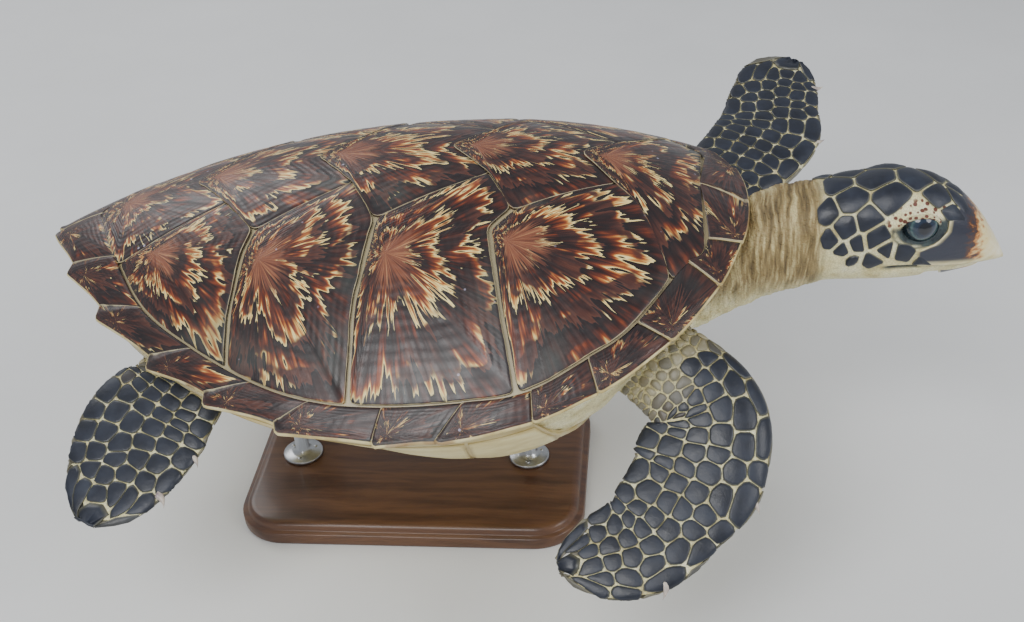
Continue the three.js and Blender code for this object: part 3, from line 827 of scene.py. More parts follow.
@dataclass(frozen=True)
class DarkScales:
    """Dark slate scales, paler where the vertex value says so."""

    name: str
    middle: tuple[int, int, int]
    dark: tuple[int, int, int]

    def make(self) -> bpy.types.Material:
        """The scales' material."""
        shader = Shader(self.name, 0.42, Coat_Weight=0.12, Coat_Roughness=0.3)
        place, crown = shader.place(), shader.value("crown")
        mottle = shader.noise(place, 46.0, 5.0, 0.62)
        colour = shader.ramp(mottle, ((0.28, self.dark), (0.56, self.middle), (0.8, (46, 54, 68))))
        tone = shader.value("tone")
        brown = shader.ramp(mottle, ((0.3, (44, 34, 30)), (0.7, (92, 82, 66))))
        colour = shader.mix(shader.span(tone, 0.72, 0.95, 0.0, 0.6), colour, brown)
        colour = shader.mix(shader.span(crown, 0.22, 0.0, 0.0, 0.35), colour, srgb(140, 138, 112))
        dull = shader.ramp(mottle, ((0.3, (176, 164, 122)), (0.7, (222, 214, 180))))
        colour = shader.mix(shader.value("pale"), colour, dull)
        shader.colour(colour)
        shader.roughness(shader.span(mottle, 0.3, 0.7, 0.34, 0.5))
        shader.bump(shader.noise(place, 900.0, 3.0), 0.00025, 0.5)
        shader.bump(shader.noise(place, 180.0, 3.0), 0.0006, 0.5)
        return shader.material


@dataclass(frozen=True)
class SoftSkin:
    """Skin with fine grain and wrinkles, khaki on the neck and cream between the scales, with painted shade
    below the eyes and along the mouth's crease.
    """

    def make(self) -> bpy.types.Material:
        """The skin's material."""
        shader = Shader("soft_skin", 0.6, Subsurface_Weight=0.04, Subsurface_Scale=0.004)
        place = shader.place()
        warped = shader.vmath("ADD", place, shader.scaled(
            shader.node("TexNoise", {"Vector": place, "Scale": 30.0}).outputs["Color"], 0.010, 0.010, 0.010))
        folds = shader.noise(shader.scaled(warped, 300.0, 26.0, 40.0), 1.0, 3.0)
        grain = shader.cells(place, 420.0, "DISTANCE_TO_EDGE")
        khaki = shader.ramp(folds, ((0.32, (88, 74, 46)), (0.5, (146, 126, 82)), (0.68, (204, 188, 136))))
        cream = shader.ramp(shader.noise(place, 70.0, 4.0),
                            ((0.3, (208, 194, 138)), (0.5, (234, 226, 174)), (0.72, (246, 241, 206))))
        colour = shader.mix(shader.value("khaki"), cream, khaki)
        colour = shader.mix(shader.sum("MULTIPLY", shader.span(grain, 0.12, 0.0), 0.35),
                            colour, srgb(112, 92, 58))
        # Painted shade: dark slate where the mask marks the lower eye surrounds and the mouth's crease.
        mask = shader.value("dusk")
        dusk = shader.ramp(shader.noise(place, 120.0, 4.0), ((0.35, (20, 28, 36)), (0.7, (66, 80, 80))))
        colour = shader.mix(mask, colour, dusk)
        blush = shader.sum("MULTIPLY", shader.value("lid"),
                           shader.span(shader.cells(place, 230.0), 0.47, 0.36))
        colour = shader.mix(blush, colour, srgb(104, 58, 44))
        shader.colour(colour)
        shader.roughness(shader.span(folds, 0.3, 0.7, 0.66, 0.5))
        shader.bump(grain, 0.0010, 0.55)
        shader.bump(folds, 0.0016, 0.5)
        return shader.material


@dataclass(frozen=True)
class BillHorn:
    """The bill's sheath: a pale tip, amber between, and a dark patch behind."""

    def make(self) -> bpy.types.Material:
        """The sheath's material: a vertex value runs from 0 at its root to 1 at its tip."""
        shader = Shader("bill_horn", 0.36, Coat_Weight=0.3, Coat_Roughness=0.2, Subsurface_Weight=0.05,
                        Subsurface_Scale=0.003)
        place = shader.place()
        streak = shader.noise(shader.scaled(place, 60.0, 240.0, 240.0), 1.0, 4.0)
        along = shader.sum("MULTIPLY_ADD", shader.sum("SUBTRACT", streak, 0.5), 0.5, shader.value("tipward"))
        colour = shader.ramp(along, (
            (0.0, (40, 44, 58)), (0.40, (36, 38, 52)), (0.50, (78, 44, 26)), (0.56, (188, 122, 58)),
            (0.64, (228, 208, 146)), (1.0, (238, 232, 204)),
        ))
        edge = shader.ramp(streak, ((0.35, (206, 190, 132)), (0.7, (232, 224, 180))))
        colour = shader.mix(shader.value("lip"), colour, edge)
        shader.colour(colour)
        shader.bump(streak, 0.0007, 0.5)
        shader.bump(shader.noise(place, 700.0, 2.0), 0.0002, 0.4)
        return shader.material


@dataclass(frozen=True)
class EyeGlass:
    """A wet eye: black pupil, dark green-grey iris with a pale ring."""

    def make(self) -> bpy.types.Material:
        """The eyeball's material: a vertex value gives the distance from the pupil's middle."""
        shader = Shader("eye_glass", 0.12, Coat_Weight=1.0, Coat_Roughness=0.02, IOR=1.38)
        place, away = shader.place(), shader.value("away")
        rays = shader.noise(shader.scaled(place, 900.0, 300.0, 900.0), 1.0, 4.0)
        at = shader.sum("MULTIPLY_ADD", shader.sum("SUBTRACT", rays, 0.5), 0.05, away)
        colour = shader.ramp(at, (
            (0.0, (6, 10, 18)), (0.24, (10, 16, 28)), (0.31, (20, 36, 58)), (0.46, (28, 48, 64)),
            (0.56, (66, 92, 94)), (0.62, (34, 52, 60)), (0.76, (22, 34, 42)), (1.0, (14, 20, 24)),
        ))
        shader.colour(colour)
        shader.bump(rays, 0.0002, 0.3)
        return shader.material


@dataclass(frozen=True)
class Grained:
    """A plain material coloured by noise through a few screen colours, with relief."""

    name: str
    stops: Stops
    scale: tuple[float, float, float]
    roughness: tuple[float, float]
    relief: float
    metallic: float = 0.0
    coat: float = 0.0
    fine: float = 600.0

    def make(self) -> bpy.types.Material:
        """The material."""
        shader = Shader(self.name, self.roughness[0], Metallic=self.metallic, Coat_Weight=self.coat,
                        Coat_Roughness=0.15)
        place = shader.place()
        warp = shader.node("TexNoise", {"Vector": place, "Scale": 9.0, "Detail": 2.0}).outputs["Color"]
        bent = shader.vmath("ADD", place, shader.scaled(warp, 0.02, 0.02, 0.02))
        grain = shader.noise(shader.scaled(bent, *self.scale), 1.0, 5.0, 0.6)
        shader.colour(shader.ramp(grain, self.stops))
        shader.roughness(shader.span(grain, 0.3, 0.7, *self.roughness))
        shader.bump(grain, self.relief, 0.5)
        shader.bump(shader.noise(place, self.fine, 3.0), self.relief * 0.4, 0.4)
        return shader.material


# ---------------------------------------------------------------- the upper shell

SHELL = ShellForm()
BELLY = BellyForm(SHELL)
HEAD = HeadForm()
TAIL = TailForm()
Point = tuple[float, float]


@dataclass(frozen=True)
class ShellSeams:
    """Where the upper shell's plates meet, as station s and distance from the middle in metres."""

    # the inner edge of the rim plates, by the station of the rim that it faces
    rim_at: tuple[float, ...] = (0, 0.012, 0.043, 0.105, 0.193, 0.272, 0.391, 0.472, 0.602, 0.705, 0.795,
                                 0.89, 0.956, 1)
    inner_s: tuple[float, ...] = (0.066, 0.058, 0.084, 0.147, 0.207, 0.276, 0.360, 0.461, 0.557, 0.638,
                                  0.727, 0.813, 0.872, 0.925)
    inner_y: tuple[float, ...] = (0, 0.068, 0.096, 0.152, 0.180, 0.2015, 0.2087, 0.2096, 0.2025, 0.1855,
                                  0.155, 0.114, 0.062, 0)
    # the rear tips of the middle plates and the corners that they share with the side plates
    tips: tuple[float, ...] = (0.224, 0.401, 0.589, 0.770)
    necks: tuple[Point, ...] = ((0.179, 0.033), (0.345, 0.036), (0.530, 0.040), (0.710, 0.040))
    wings: tuple[Point, ...] = ((0.309, 0.075), (0.490, 0.080), (0.658, 0.076), (0.828, 0.064))
    front_corner: float = 0.062
    front_seam: tuple[Point, ...] = ((0.124, 0.078), (0.146, 0.052))
    # the seams between the side plates run out from the wings to the rim plates
    side_seams: tuple[tuple[Point, ...], ...] = (
        ((0.338, 0.094), (0.318, 0.150)), ((0.494, 0.102), (0.506, 0.148)), ((0.668, 0.094), (0.676, 0.136)),
    )
    side_ends: tuple[float, ...] = (0.295, 0.527, 0.742)
    last_corner: float = 0.948

    def inner(self, rim_s: float) -> Point:
        """The rim plates' inner edge facing a station of the rim."""
        return (float(smooth(self.rim_at, self.inner_s, rim_s)),
                float(smooth(self.rim_at, self.inner_y, rim_s)))

    def along_rim(self, start: float, end: float) -> list[Point]:
        """Points of that inner edge from one station to another."""
        count = max(int(abs(end - start) / 0.02), 2)
        return [self.inner(start + (end - start) * i / count) for i in range(count + 1)]

    def middle_plates(self) -> list[tuple[list[Point], Point]]:
        """The right half of each middle plate's outline, from front to rear, and its oldest point."""
        first = (self.along_rim(0, self.front_corner) + list(self.front_seam)
                 + [self.necks[0], (self.tips[0], 0)])
        plates = [(first, (self.tips[0] - 0.030, 0.0))]
        for i in range(3):
            half = [(self.tips[i], 0), self.necks[i], self.wings[i], self.necks[i + 1], (self.tips[i + 1], 0)]
            plates.append((half, (self.tips[i + 1] - 0.030, 0.0)))
        last = [(self.tips[3], 0), self.necks[3], self.wings[3]] + self.along_rim(self.last_corner, 1)
        plates.append((last, (0.880, 0.0)))
        return plates

    def side_plates(self) -> list[tuple[list[Point], Point]]:
        """Each side plate's outline and its oldest point, near its upper rear corner."""
        starts = [self.front_corner, *self.side_ends]
        ends = [*self.side_ends, self.last_corner]
        plates = []
        for i in range(4):
            rim = self.along_rim(starts[i], ends[i])
            rear = [*reversed(self.side_seams[i])] if i < 3 else []
            top = [self.wings[i], self.necks[i]]
            front = (list(reversed(self.front_seam)) if i == 0
                     else [self.wings[i - 1], *self.side_seams[i - 1]])
            corner = self.side_seams[i][0] if i < 3 else self.wings[3]
            oldest = (corner[0] - 0.024, corner[1] + 0.010)
            plates.append((rim + rear + top + front, oldest))
        return plates


def resampled(outline: Array, count: int) -> Array:
    """A closed outline as evenly spaced points."""
    closed = np.concatenate([outline, outline[:1]])
    run = np.concatenate([[0], np.cumsum(np.linalg.norm(np.diff(closed, axis=0), axis=1))])
    at = np.linspace(0, run[-1], count, endpoint=False)
    return np.stack([np.interp(at, run, closed[:, i]) for i in range(2)], -1)


def relaxed(outline: Array, rounds: int, share: float = 0.5) -> Array:
    """A closed outline with its corners eased."""
    for _ in range(rounds):
        middle = (np.roll(outline, 1, 0) + np.roll(outline, -1, 0)) / 2
        outline = lerp(outline, middle, share)
    return outline


@dataclass
class Carapace:
    """The upper shell: a bed, five middle plates, four pairs of side plates and the toothed rim plates."""

    seams: ShellSeams = field(default_factory=ShellSeams)
    spokes: int = 132
    rings: int = 24
    bed_drop: float = 0.0030
    plate_depth: float = 0.0026
    rear_lift: float = 0.0014
    front_tuck: float = 0.0006
    overlap: float = 0.0016
    rim_steps: int = 30
    under_reach: float = 0.030
    settled: float = 0.0017

    def top(self, plan: Array) -> Array:
        """The dome's points over places in plan."""
        s = SHELL.s(plan[:, 0])
        across = np.abs(plan[:, 1]) / np.maximum(SHELL.outline(s), 1e-4)
        return np.column_stack([plan, SHELL.dome(s, across)
                                - self.settled * (1 - np.minimum(across, 1) ** 4)])

    def normals(self, plan: Array) -> Array:
        """The dome's normals over places in plan."""
        step = 0.001
        along = self.top(plan + [step, 0]) - self.top(plan - [step, 0])
        across = self.top(plan + [0, step]) - self.top(plan - [0, step])
        return unit(np.cross(along, across))

    def plan(self, points: Sequence[Point], side: int) -> Array:
        """Stations and distances from the middle as X and Y on one side."""
        flat = np.array(points, float)
        return np.column_stack([SHELL.x(flat[:, 0]), side * flat[:, 1]])

    def plate(self, work: Patchwork, outline: Array, oldest: Array, seed: float) -> None:
        """Adds a plate that grows out from its oldest point.

        Args:
            work: Where it goes.
            outline: Its closed outline in plan, anticlockwise.
            oldest: Where its flames fan out from.
            seed: A number that sets its pattern apart.
        """
        rng = np.random.default_rng(int(seed * 1000))
        edge = relaxed(resampled(outline, self.spokes), 2)
        along = np.roll(edge, -1, 0) - np.roll(edge, 1, 0)
        outward = unit(np.stack([along[:, 1], -along[:, 0]], -1))
        rear = np.clip(-outward[:, 0], 0, 1)
        ahead = np.clip(outward[:, 0], 0, 1)
        chips = np.repeat(rng.uniform(-1, 1, self.spokes // 3), 3)[: self.spokes]
        chips = (np.roll(chips, 1) + chips) / 2
        edge = edge + outward * (self.overlap * (0.7 + 0.5 * rear) + 0.0005 * chips * rear)[:, None]
        inner = 0.970 * (np.arange(1, self.rings - 1) / (self.rings - 2)) ** 0.85
        share = np.concatenate([inner, [0.990, 1.0]])
        plan = oldest + (edge - oldest)[None] * share[:, None, None]
        flat = plan.reshape(-1, 2)
        ring = np.repeat(share, self.spokes)
        rear, ahead = np.tile(rear, self.rings), np.tile(ahead, self.rings)
        lift = self.rear_lift * rear * ring**3 - self.front_tuck * ahead * ring**5
        swell = 0.0010 * (1 - ring**2) - 0.0003 * ease(ring, 0.988, 1.0)
        grown = 0.00010 * np.sin(ring * 34 + 2 * ripple(self.top(flat), 14, 5)) * (ring > 0.12)
        top = self.top(flat) + self.normals(flat) * (lift + swell + grown)[:, None]
        centre = self.top(oldest[None]) + self.normals(oldest[None]) * 0.0012
        low_share = np.array([1.0, 0.66, 0.33])
        low_plan = (oldest + (edge - oldest)[None] * low_share[:, None, None]).reshape(-1, 2)
        low_lift = np.tile(self.rear_lift * rear[: self.spokes] - self.front_tuck * ahead[: self.spokes], 3)
        low_lift = low_lift * np.repeat(low_share**3, self.spokes) - self.plate_depth
        under = self.top(low_plan) + self.normals(low_plan) * low_lift[:, None]
        under_centre = self.top(oldest[None]) - self.normals(oldest[None]) * self.plate_depth
        count = self.spokes
        faces = [tuple(reversed(face)) for face in grid_faces(self.rings, count, wrap=True, start=1)]
        faces += [(0, 1 + j, 1 + (j + 1) % count) for j in range(count)]
        base = 1 + self.rings * count
        last = 1 + (self.rings - 1) * count
        for j in range(count):
            k = (j + 1) % count
            faces.append((last + j, base + j, base + k, last + k))
        for i in range(2):
            for j in range(count):
                k = (j + 1) % count
                a, b = base + i * count, base + (i + 1) * count
                faces.append((a + j, b + j, b + k, a + k))
        tail = base + 3 * count
        faces += [(tail, base + 2 * count + (j + 1) % count, base + 2 * count + j) for j in range(count)]
        points = np.concatenate([centre, top, under, under_centre])
        every = np.concatenate([oldest[None], flat, low_plan, oldest[None]])
        rings = np.concatenate([[0], ring, np.repeat(low_share, count), [0]])
        spoke = np.column_stack([every - oldest, rings])
        # at the middle the way out isn't defined, so it is given one
        spoke[[0, -1], 0] = 1e-5
        reach = np.linalg.norm(edge - oldest, axis=1)
        left = np.concatenate([(1 - share)[:, None] * reach, np.full((3, self.spokes), 0.0035)]).ravel()
        left = np.concatenate([[reach.min()], left, [0.0]])
        work.add(points, faces, spoke=spoke, seed=seed, under=0.0, margin=0.0, edge=left)

    def rim_plate(self, work: Patchwork, start: float, end: float, side: int, seed: float,
                  toothed: bool = True) -> None:
        """Adds a rim plate: a folded strip with a thin lip and a pale underside.

        Args:
            work: Where it goes.
            start: The rim's station at its front seam.
            end: The rim's station at its rear seam.
            side: Which side of the animal.
            seed: A number that sets its pattern apart.
            toothed: Whether its edge stands out at the rear.
        """
        u = np.linspace(0, 1, self.rim_steps)
        s = lerp(start, end, u)
        out = SHELL.tooth(s, u) - 0.0012 if toothed else -0.0006 - 0 * u
        rim_x, rim_y = SHELL.edge(s, out)
        in_s, in_y = smooth(self.seams.rim_at, self.seams.inner_s, s), smooth(self.seams.rim_at,
                                                                             self.seams.inner_y, s)
        in_x = SHELL.x(in_s)
        rim_z = SHELL.rim(s)
        v = np.linspace(0, 1, 16)
        rows = []
        spokes = []
        unders = []
        lift = self.rear_lift * 0.8 * ease(u, 0.55, 1.0) - 0.0008 * ease(u, 0.25, 0.0)
        for i in range(self.rim_steps):
            inner, rim = np.array([in_x[i], in_y[i]]), np.array([rim_x[i], rim_y[i]])
            plan = lerp(inner[None], rim[None], v[:, None])
            top = self.top(plan)
            # past the outline the dome's height stays at the rim's
            top[:, 2] = np.maximum(top[:, 2], rim_z[i] * ease(v, 0.6, 1.0) + top[:, 2] * ease(v, 1.0, 0.6))
            normal = self.normals(plan)
            normal = unit(lerp(normal, np.array([0, 0, 1.0]), ease(v, 0.8, 1.0)[:, None]))
            swell = 0.0010 * np.sin(np.pi * np.clip(v, 0, 1)) ** 0.6
            top = top + normal * (lift[i] + swell + 0.0002)[:, None]
            outward = unit(rim - inner)
            lip_angle = np.linspace(0.35, math.pi - 0.35, 5)
            half = SHELL.rim_thickness / 2
            lip = np.column_stack([
                rim[0] + outward[0] * half * np.sin(lip_angle) * 0.9,
                rim[1] + outward[1] * half * np.sin(lip_angle) * 0.9,
                top[-1, 2] - half + half * np.cos(lip_angle),
            ])
            w = np.linspace(0.06, 1, 7)
            reach = min(self.under_reach, 0.8 * np.linalg.norm(rim - inner))
            below = np.column_stack([
                rim[0] - outward[0] * reach * w,
                rim[1] - outward[1] * reach * w,
                top[-1, 2] - 2 * half - 0.0025 * np.sin(w * math.pi * 0.8),
            ])
            rows.append(np.concatenate([top, lip, below]))
            near = np.concatenate([v, np.ones(5), np.ones(7)])
            spokes.append(np.column_stack([
                (np.concatenate([plan[:, 0], np.full(12, rim[0])])),
                (np.concatenate([plan[:, 1], np.full(12, rim[1])])),
                near,
            ]))
            unders.append(np.concatenate([np.zeros(14), [0.0, 0.15], [0.4, 0.7, 0.9, 1, 1], np.ones(7)]))
        sections = np.array(rows)
        sections[:, :, 1] *= side
        points, faces = loft(sections)
        spoke = np.array(spokes)
        spoke[:, :, 1] *= side
        u_old, v_old = 0.80, 0.70
        grid_u = np.broadcast_to(u[:, None], spoke.shape[:2])
        grid_v = spoke[:, :, 2]
        ring = np.max([(grid_u - u_old) / (1 - u_old), (u_old - grid_u) / u_old,
                       (grid_v - v_old) / (1 - v_old), (v_old - grid_v) / v_old], axis=0)
        row = int(round(u_old * (self.rim_steps - 1)))
        oldest = spoke[row, 11, :2]
        # a rim plate is small, so its flames start a third of the way out and are fewer
        ring = 0.34 + 0.50 * ring
        spoke = np.concatenate([spoke[:, :, :2] - oldest + 1e-5, ring[:, :, None]], -1).reshape(-1, 3)
        spoke = np.concatenate([spoke, spoke[:1], spoke[-1:]])
        under = np.concatenate(unders + [[1.0, 1.0]])
        long = float(np.hypot(rim_x[-1] - rim_x[0], rim_y[-1] - rim_y[0]))
        wide = np.hypot(rim_x - in_x, rim_y - in_y)[:, None]
        left = np.minimum(np.minimum(grid_u, 1 - grid_u) * long, grid_v * wide + 0.0006).ravel()
        left = np.concatenate([left, [0.0, 0.0]])
        work.add(points, faces, spoke=spoke, seed=seed, under=under, margin=1.0, edge=left)

    def bed(self) -> Patchwork:
        """The closed body under the plates."""
        work = Patchwork()
        rim_s = (1 - np.cos(np.linspace(0, math.pi, 61))) / 2
        rim_x, rim_y = SHELL.edge(rim_s, -0.009)
        ring_x = np.concatenate([rim_x, rim_x[-2:0:-1]])
        ring_y = np.concatenate([-rim_y, rim_y[-2:0:-1]])
        ring_s = np.concatenate([rim_s, rim_s[-2:0:-1]])
        sections = []
        for share in np.linspace(0.02, 1, 26):
            plan = np.column_stack([ring_x, ring_y]) * share
            top = self.top(plan)
            top[:, 2] = np.where(share > 0.98, SHELL.rim(ring_s), top[:, 2])
            top[:, 2] -= self.bed_drop
            sections.append(top)
        for share in (1.0, 0.9, 0.7, 0.4, 0.05):
            plan = np.column_stack([ring_x, ring_y]) * share
            z = SHELL.rim(ring_s) * share - 0.0030 - self.bed_drop
            sections.append(np.column_stack([plan, np.minimum(z, self.top(plan)[:, 2] - 0.006)]))
        points, faces = loft(np.array(sections))
        spoke = np.column_stack([points[:, :2] + 1e-5, np.full(len(points), 0.97)])
        under = np.concatenate([np.zeros(26 * len(ring_x)), np.ones(5 * len(ring_x)), [0, 1]])
        work.add(points, faces, spoke=spoke, seed=0.5, under=under, margin=0.0, edge=0.0)
        return work

    def build(self, horn: bpy.types.Material) -> list[bpy.types.Object]:
        """Makes the bed and the plates.

        Args:
            horn: The plates' material.

        Returns:
            The four pieces.
        """
        middles, sides, rims = Patchwork(), Patchwork(), Patchwork()
        for number, (half, oldest) in enumerate(self.seams.middle_plates()):
            right = self.plan(half, -1)
            left = self.plan([p for p in reversed(half) if p[1] > 0], 1)
            outline = np.concatenate([right, left])
            self.plate(middles, outline[::-1], self.plan([oldest], 1)[0], 0.11 + 0.13 * number)
        for side in (-1, 1):
            for number, (outline, oldest) in enumerate(self.seams.side_plates()):
                plan = self.plan(outline, side)
                self.plate(sides, plan if side < 0 else plan[::-1], self.plan([oldest], side)[0],
                           0.31 + 0.17 * number + 0.07 * side)
            seams = SHELL.rim_seams[1:]
            for number, (start, end) in enumerate(zip(seams, seams[1:])):
                self.rim_plate(rims, start, end, side, 0.23 + 0.091 * number + 0.05 * side)
            self.rim_plate(rims, 0.0, SHELL.rim_seams[1], side, 0.77, toothed=False)
        pieces = []
        for name, work in (("carapace_bed", self.bed()), ("carapace_middle_plates", middles),
                           ("carapace_side_plates", sides), ("carapace_rim_plates", rims)):
            mesh = raised_to_stand(turned_out(work.mesh(name)))
            mesh.materials.append(horn)
            pieces.append(make_object(name, mesh))
        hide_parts("carapace")
        return pieces


def raised_to_stand(mesh: bpy.types.Mesh) -> bpy.types.Mesh:
    """Lifts a mesh from the animal's own level to the stand's."""
    mesh.transform(Matrix.Translation((0, 0, STAND_HEIGHT)))
    return mesh


# ---------------------------------------------------------------- scales over the skin


@dataclass
class SurfaceMap:
    """A limb's surface laid out flat: p runs along it and q runs round it from the middle of its top."""

    p: Array
    points: Array
    around: Array
    tip_from: float = 9.0

    @classmethod
    def of(cls, rows: Array, sections: Array, tip_from: float = 9.0) -> "SurfaceMap":
        """The map of a surface.

        Args:
            rows: The place p of each section.
            sections: Points as (sections, points, 3), from the middle of the underside round to it again.
            tip_from: The place p past which the limb rounds off to its tip.

        Returns:
            The map.
        """
        steps = np.linalg.norm(np.diff(sections, axis=1), axis=2)
        run = np.concatenate([np.zeros((len(rows), 1)), np.cumsum(steps, axis=1)], axis=1)
        top = sections.shape[1] // 2
        return cls(rows, sections, run - run[:, top : top + 1], tip_from)

    def narrowing(self, p: Array) -> Array:
        """How much narrower the limb is at p than where its tip begins to round off."""
        start = self.reach(np.array([min(self.tip_from, self.p[-1])]))
        return np.where(p > self.tip_from, np.maximum(self.reach(p) / start, 0.12), 1.0)

    def reach(self, p: Array, low: bool = False) -> Array:
        """How far q runs at p, on the high side or the low one."""
        return np.interp(p, self.p, self.around[:, 0 if low else -1])

    def at(self, p: Array, q: Array) -> Array:
        """Points at places of the map."""
        p = np.clip(p, self.p[0], self.p[-1])
        row = np.clip(np.searchsorted(self.p, p) - 1, 0, len(self.p) - 2)
        share = ((p - self.p[row]) / (self.p[row + 1] - self.p[row]))[:, None]
        result = np.zeros((len(p), 3))
        for i in np.unique(row):
            pick = row == i
            near, far = (
                np.stack([np.interp(q[pick], self.around[k], self.points[k, :, axis])
                          for axis in range(3)], -1)
                for k in (i, i + 1)
            )
            result[pick] = lerp(near, far, share[pick])
        return result


@dataclass(frozen=True)
class Site:
    """Where a scale grows on a map, its size and the half width of the skin that shows round it."""

    p: float
    q: float
    size: float = 0.010
    seam: float = 0.0007
    tone: float = 0.3
    pale: float = 0.0
    built: bool = True


def clipped(outline: Array, point: Array, normal: Array) -> Array:
    """The part of a convex outline behind a line."""
    side = (outline - point) @ normal
    kept = []
    for i, here in enumerate(side):
        after = side[(i + 1) % len(side)]
        a, b = outline[i], outline[(i + 1) % len(side)]
        if here <= 0:
            kept.append(a)
        if (here < 0 < after) or (after < 0 < here):
            kept.append(a + (b - a) * (here / (here - after)))
    return np.array(kept)


def eased_corners(outline: Array, cut: float) -> Array:
    """A convex outline with its corners cut twice."""
    for _ in range(2):
        after = np.roll(outline, -1, 0)
        outline = np.stack([lerp(outline, after, cut), lerp(outline, after, 1 - cut)], 1).reshape(-1, 2)
    return outline


def fan_area(outline: Array) -> float:
    """The area inside a closed outline in space."""
    spokes = outline - outline.mean(0)
    return float(np.linalg.norm(np.cross(spokes, np.roll(spokes, -1, 0)).sum(0))) / 2


@dataclass
class Scales:
    """Scales over one limb: cells about their sites, laid on its map."""

    name: str
    chart: SurfaceMap
    sites: list[Site]
    corners: int = 16
    cut: float = 0.15
    sunk: float = 0.0008
    neighbours: int = 26
    rings: tuple[float, ...] = (1.0, 0.82, 0.45)

    def cell(self, number: int, places: Array, sizes: Array) -> Array | None:
        """The outline of one scale, with the skin's width taken off all round."""
        site, here = self.sites[number], places[number]
        reach = 3.2 * site.size
        outline = here + reach * np.array([[-1, -1], [1, -1], [1, 1], [-1, 1]])
        away = places - here
        distance = np.linalg.norm(away, axis=1)
        for other in np.argsort(distance)[1 : self.neighbours + 1]:
            gap = distance[other]
            if gap < 1e-6 or gap > 2.5 * reach:
                continue
            share = 0.5 + (sizes[number] ** 2 - sizes[other] ** 2) / (2 * gap * gap)
            share = min(max(share, 0.25), 0.75)
            normal = away[other] / gap
            outline = clipped(outline, here + normal * (gap * share - site.seam), normal)
            if len(outline) < 3:
                return None
        return outline

    def footprints(self) -> bpy.types.Mesh:
        """The scales' flat patches on the limb, with crown, tone and pale values and the bake map."""
        places = np.array([[site.p, site.q] for site in self.sites])
        places[:, 1] /= self.chart.narrowing(places[:, 0])
        sizes = np.array([site.size for site in self.sites]) * 0.6
        work = Patchwork()
        charted = []
        for number, site in enumerate(self.sites):
            if not site.built:
                continue
            outline = self.cell(number, places, sizes)
            if outline is None:
                continue
            count = self.corners if site.size > 0.0035 else 8
            shares = self.rings if site.size > 0.0035 else (1.0, 0.5)
            edge = resampled(eased_corners(outline, self.cut), count)
            middle = edge.mean(0)
            flat = np.concatenate([middle + (edge - middle) * share for share in shares] + [middle[None]])
            p = np.clip(flat[:, 0], self.chart.p[0], self.chart.p[-1] - 0.0022)
            q = flat[:, 1] * self.chart.narrowing(p)
            q = np.clip(q, self.chart.reach(p, low=True) + 0.0006, self.chart.reach(p) - 0.0006)
            span = np.ptp(q[:count]), np.ptp(p[:count])
            if min(span) < 0.0012:
                continue
            points = self.chart.at(p, q)
            laid = np.column_stack([p, q, 0 * p])
            if fan_area(points[:count]) < 0.22 * fan_area(laid[:count]):
                continue
            faces = grid_faces(len(shares), count, wrap=True)
            last = (len(shares) - 1) * count
            faces += [(last + j, last + (j + 1) % count, last + count) for j in range(count)]
            crown = np.concatenate([np.repeat(1 - np.array(shares) ** 2, count), [1.0]])
            work.add(points, faces, crown=crown, tone=site.tone, pale=site.pale)
            charted.append(np.column_stack([p, q]))
        mesh = work.mesh(self.name)
        self.set_bake_map(mesh, np.concatenate(charted))
        outwards(mesh, self.chart)
        normals = vertex_normals(mesh)
        set_coordinates(mesh, coordinates(mesh) - normals * self.sunk)
        return mesh

    def set_bake_map(self, mesh: bpy.types.Mesh, charted: Array) -> None:
        """Writes the OFBake map: each scale lies at its own place on the limb's unwrap."""
        low, high = charted.min(0), charted.max(0)
        uv = (charted - low) / (high - low) * 0.98 + 0.01
        layer = mesh.uv_layers.new(name="OFBake")
        corner = np.zeros(len(mesh.loops), np.int32)
        mesh.loops.foreach_get("vertex_index", corner)
        layer.uv.foreach_set("vector", uv[corner].astype(np.float32).ravel())

    def build(self, tree: bpy.types.NodeTree, finish: bpy.types.Material, height: float,
              dome: float) -> bpy.types.Object:
        """Raises the patches into scales.

        Args:
            tree: The Geometry Nodes that raise plates.
            finish: The scales' material.
            height: How high their sides stand.
            dome: How far their middles swell.

        Returns:
            The piece.
        """
        thing = make_object(self.name, raised_to_stand(self.footprints()))
        run_tree(thing, tree, {"Height": height, "Dome": dome, "Finish": finish})
        return thing


def outwards(mesh: bpy.types.Mesh, chart: SurfaceMap) -> None:
    """Turns every patch to face away from the limb's axis."""
    rows = chart.points.mean(1)
    points = coordinates(mesh)
    sample = points[:: max(len(points) // 400, 1)]
    nearest = rows[np.argmin(np.linalg.norm(sample[:, None] - rows[None], axis=2), axis=1)]
    normals = vertex_normals(mesh)[:: max(len(points) // 400, 1)]
    if np.sum((sample - nearest) * normals) < 0:
        mesh.flip_normals()
        mesh.update()


def tree_socket(tree: bpy.types.NodeTree, name: str, kind: str, out: bool = False,
                value: float | None = None) -> None:
    """Adds a named input or output to a tree."""
    made = tree.interface.new_socket(name=name, in_out="OUTPUT" if out else "INPUT", socket_type=kind)
    if value is not None:
        made.default_value = value


def run_tree(thing: bpy.types.Object, tree: bpy.types.NodeTree, inputs: dict[str, object]) -> None:
    """Runs a tree on an object with its inputs set, and keeps the result as a plain mesh."""
    modifier = thing.modifiers.new("shape", "NODES")
    modifier.node_group = tree
    for item in tree.interface.items_tree:
        if item.in_out == "INPUT" and item.name in inputs:
            modifier[item.identifier] = inputs[item.name]
    baked(thing, thing.name)


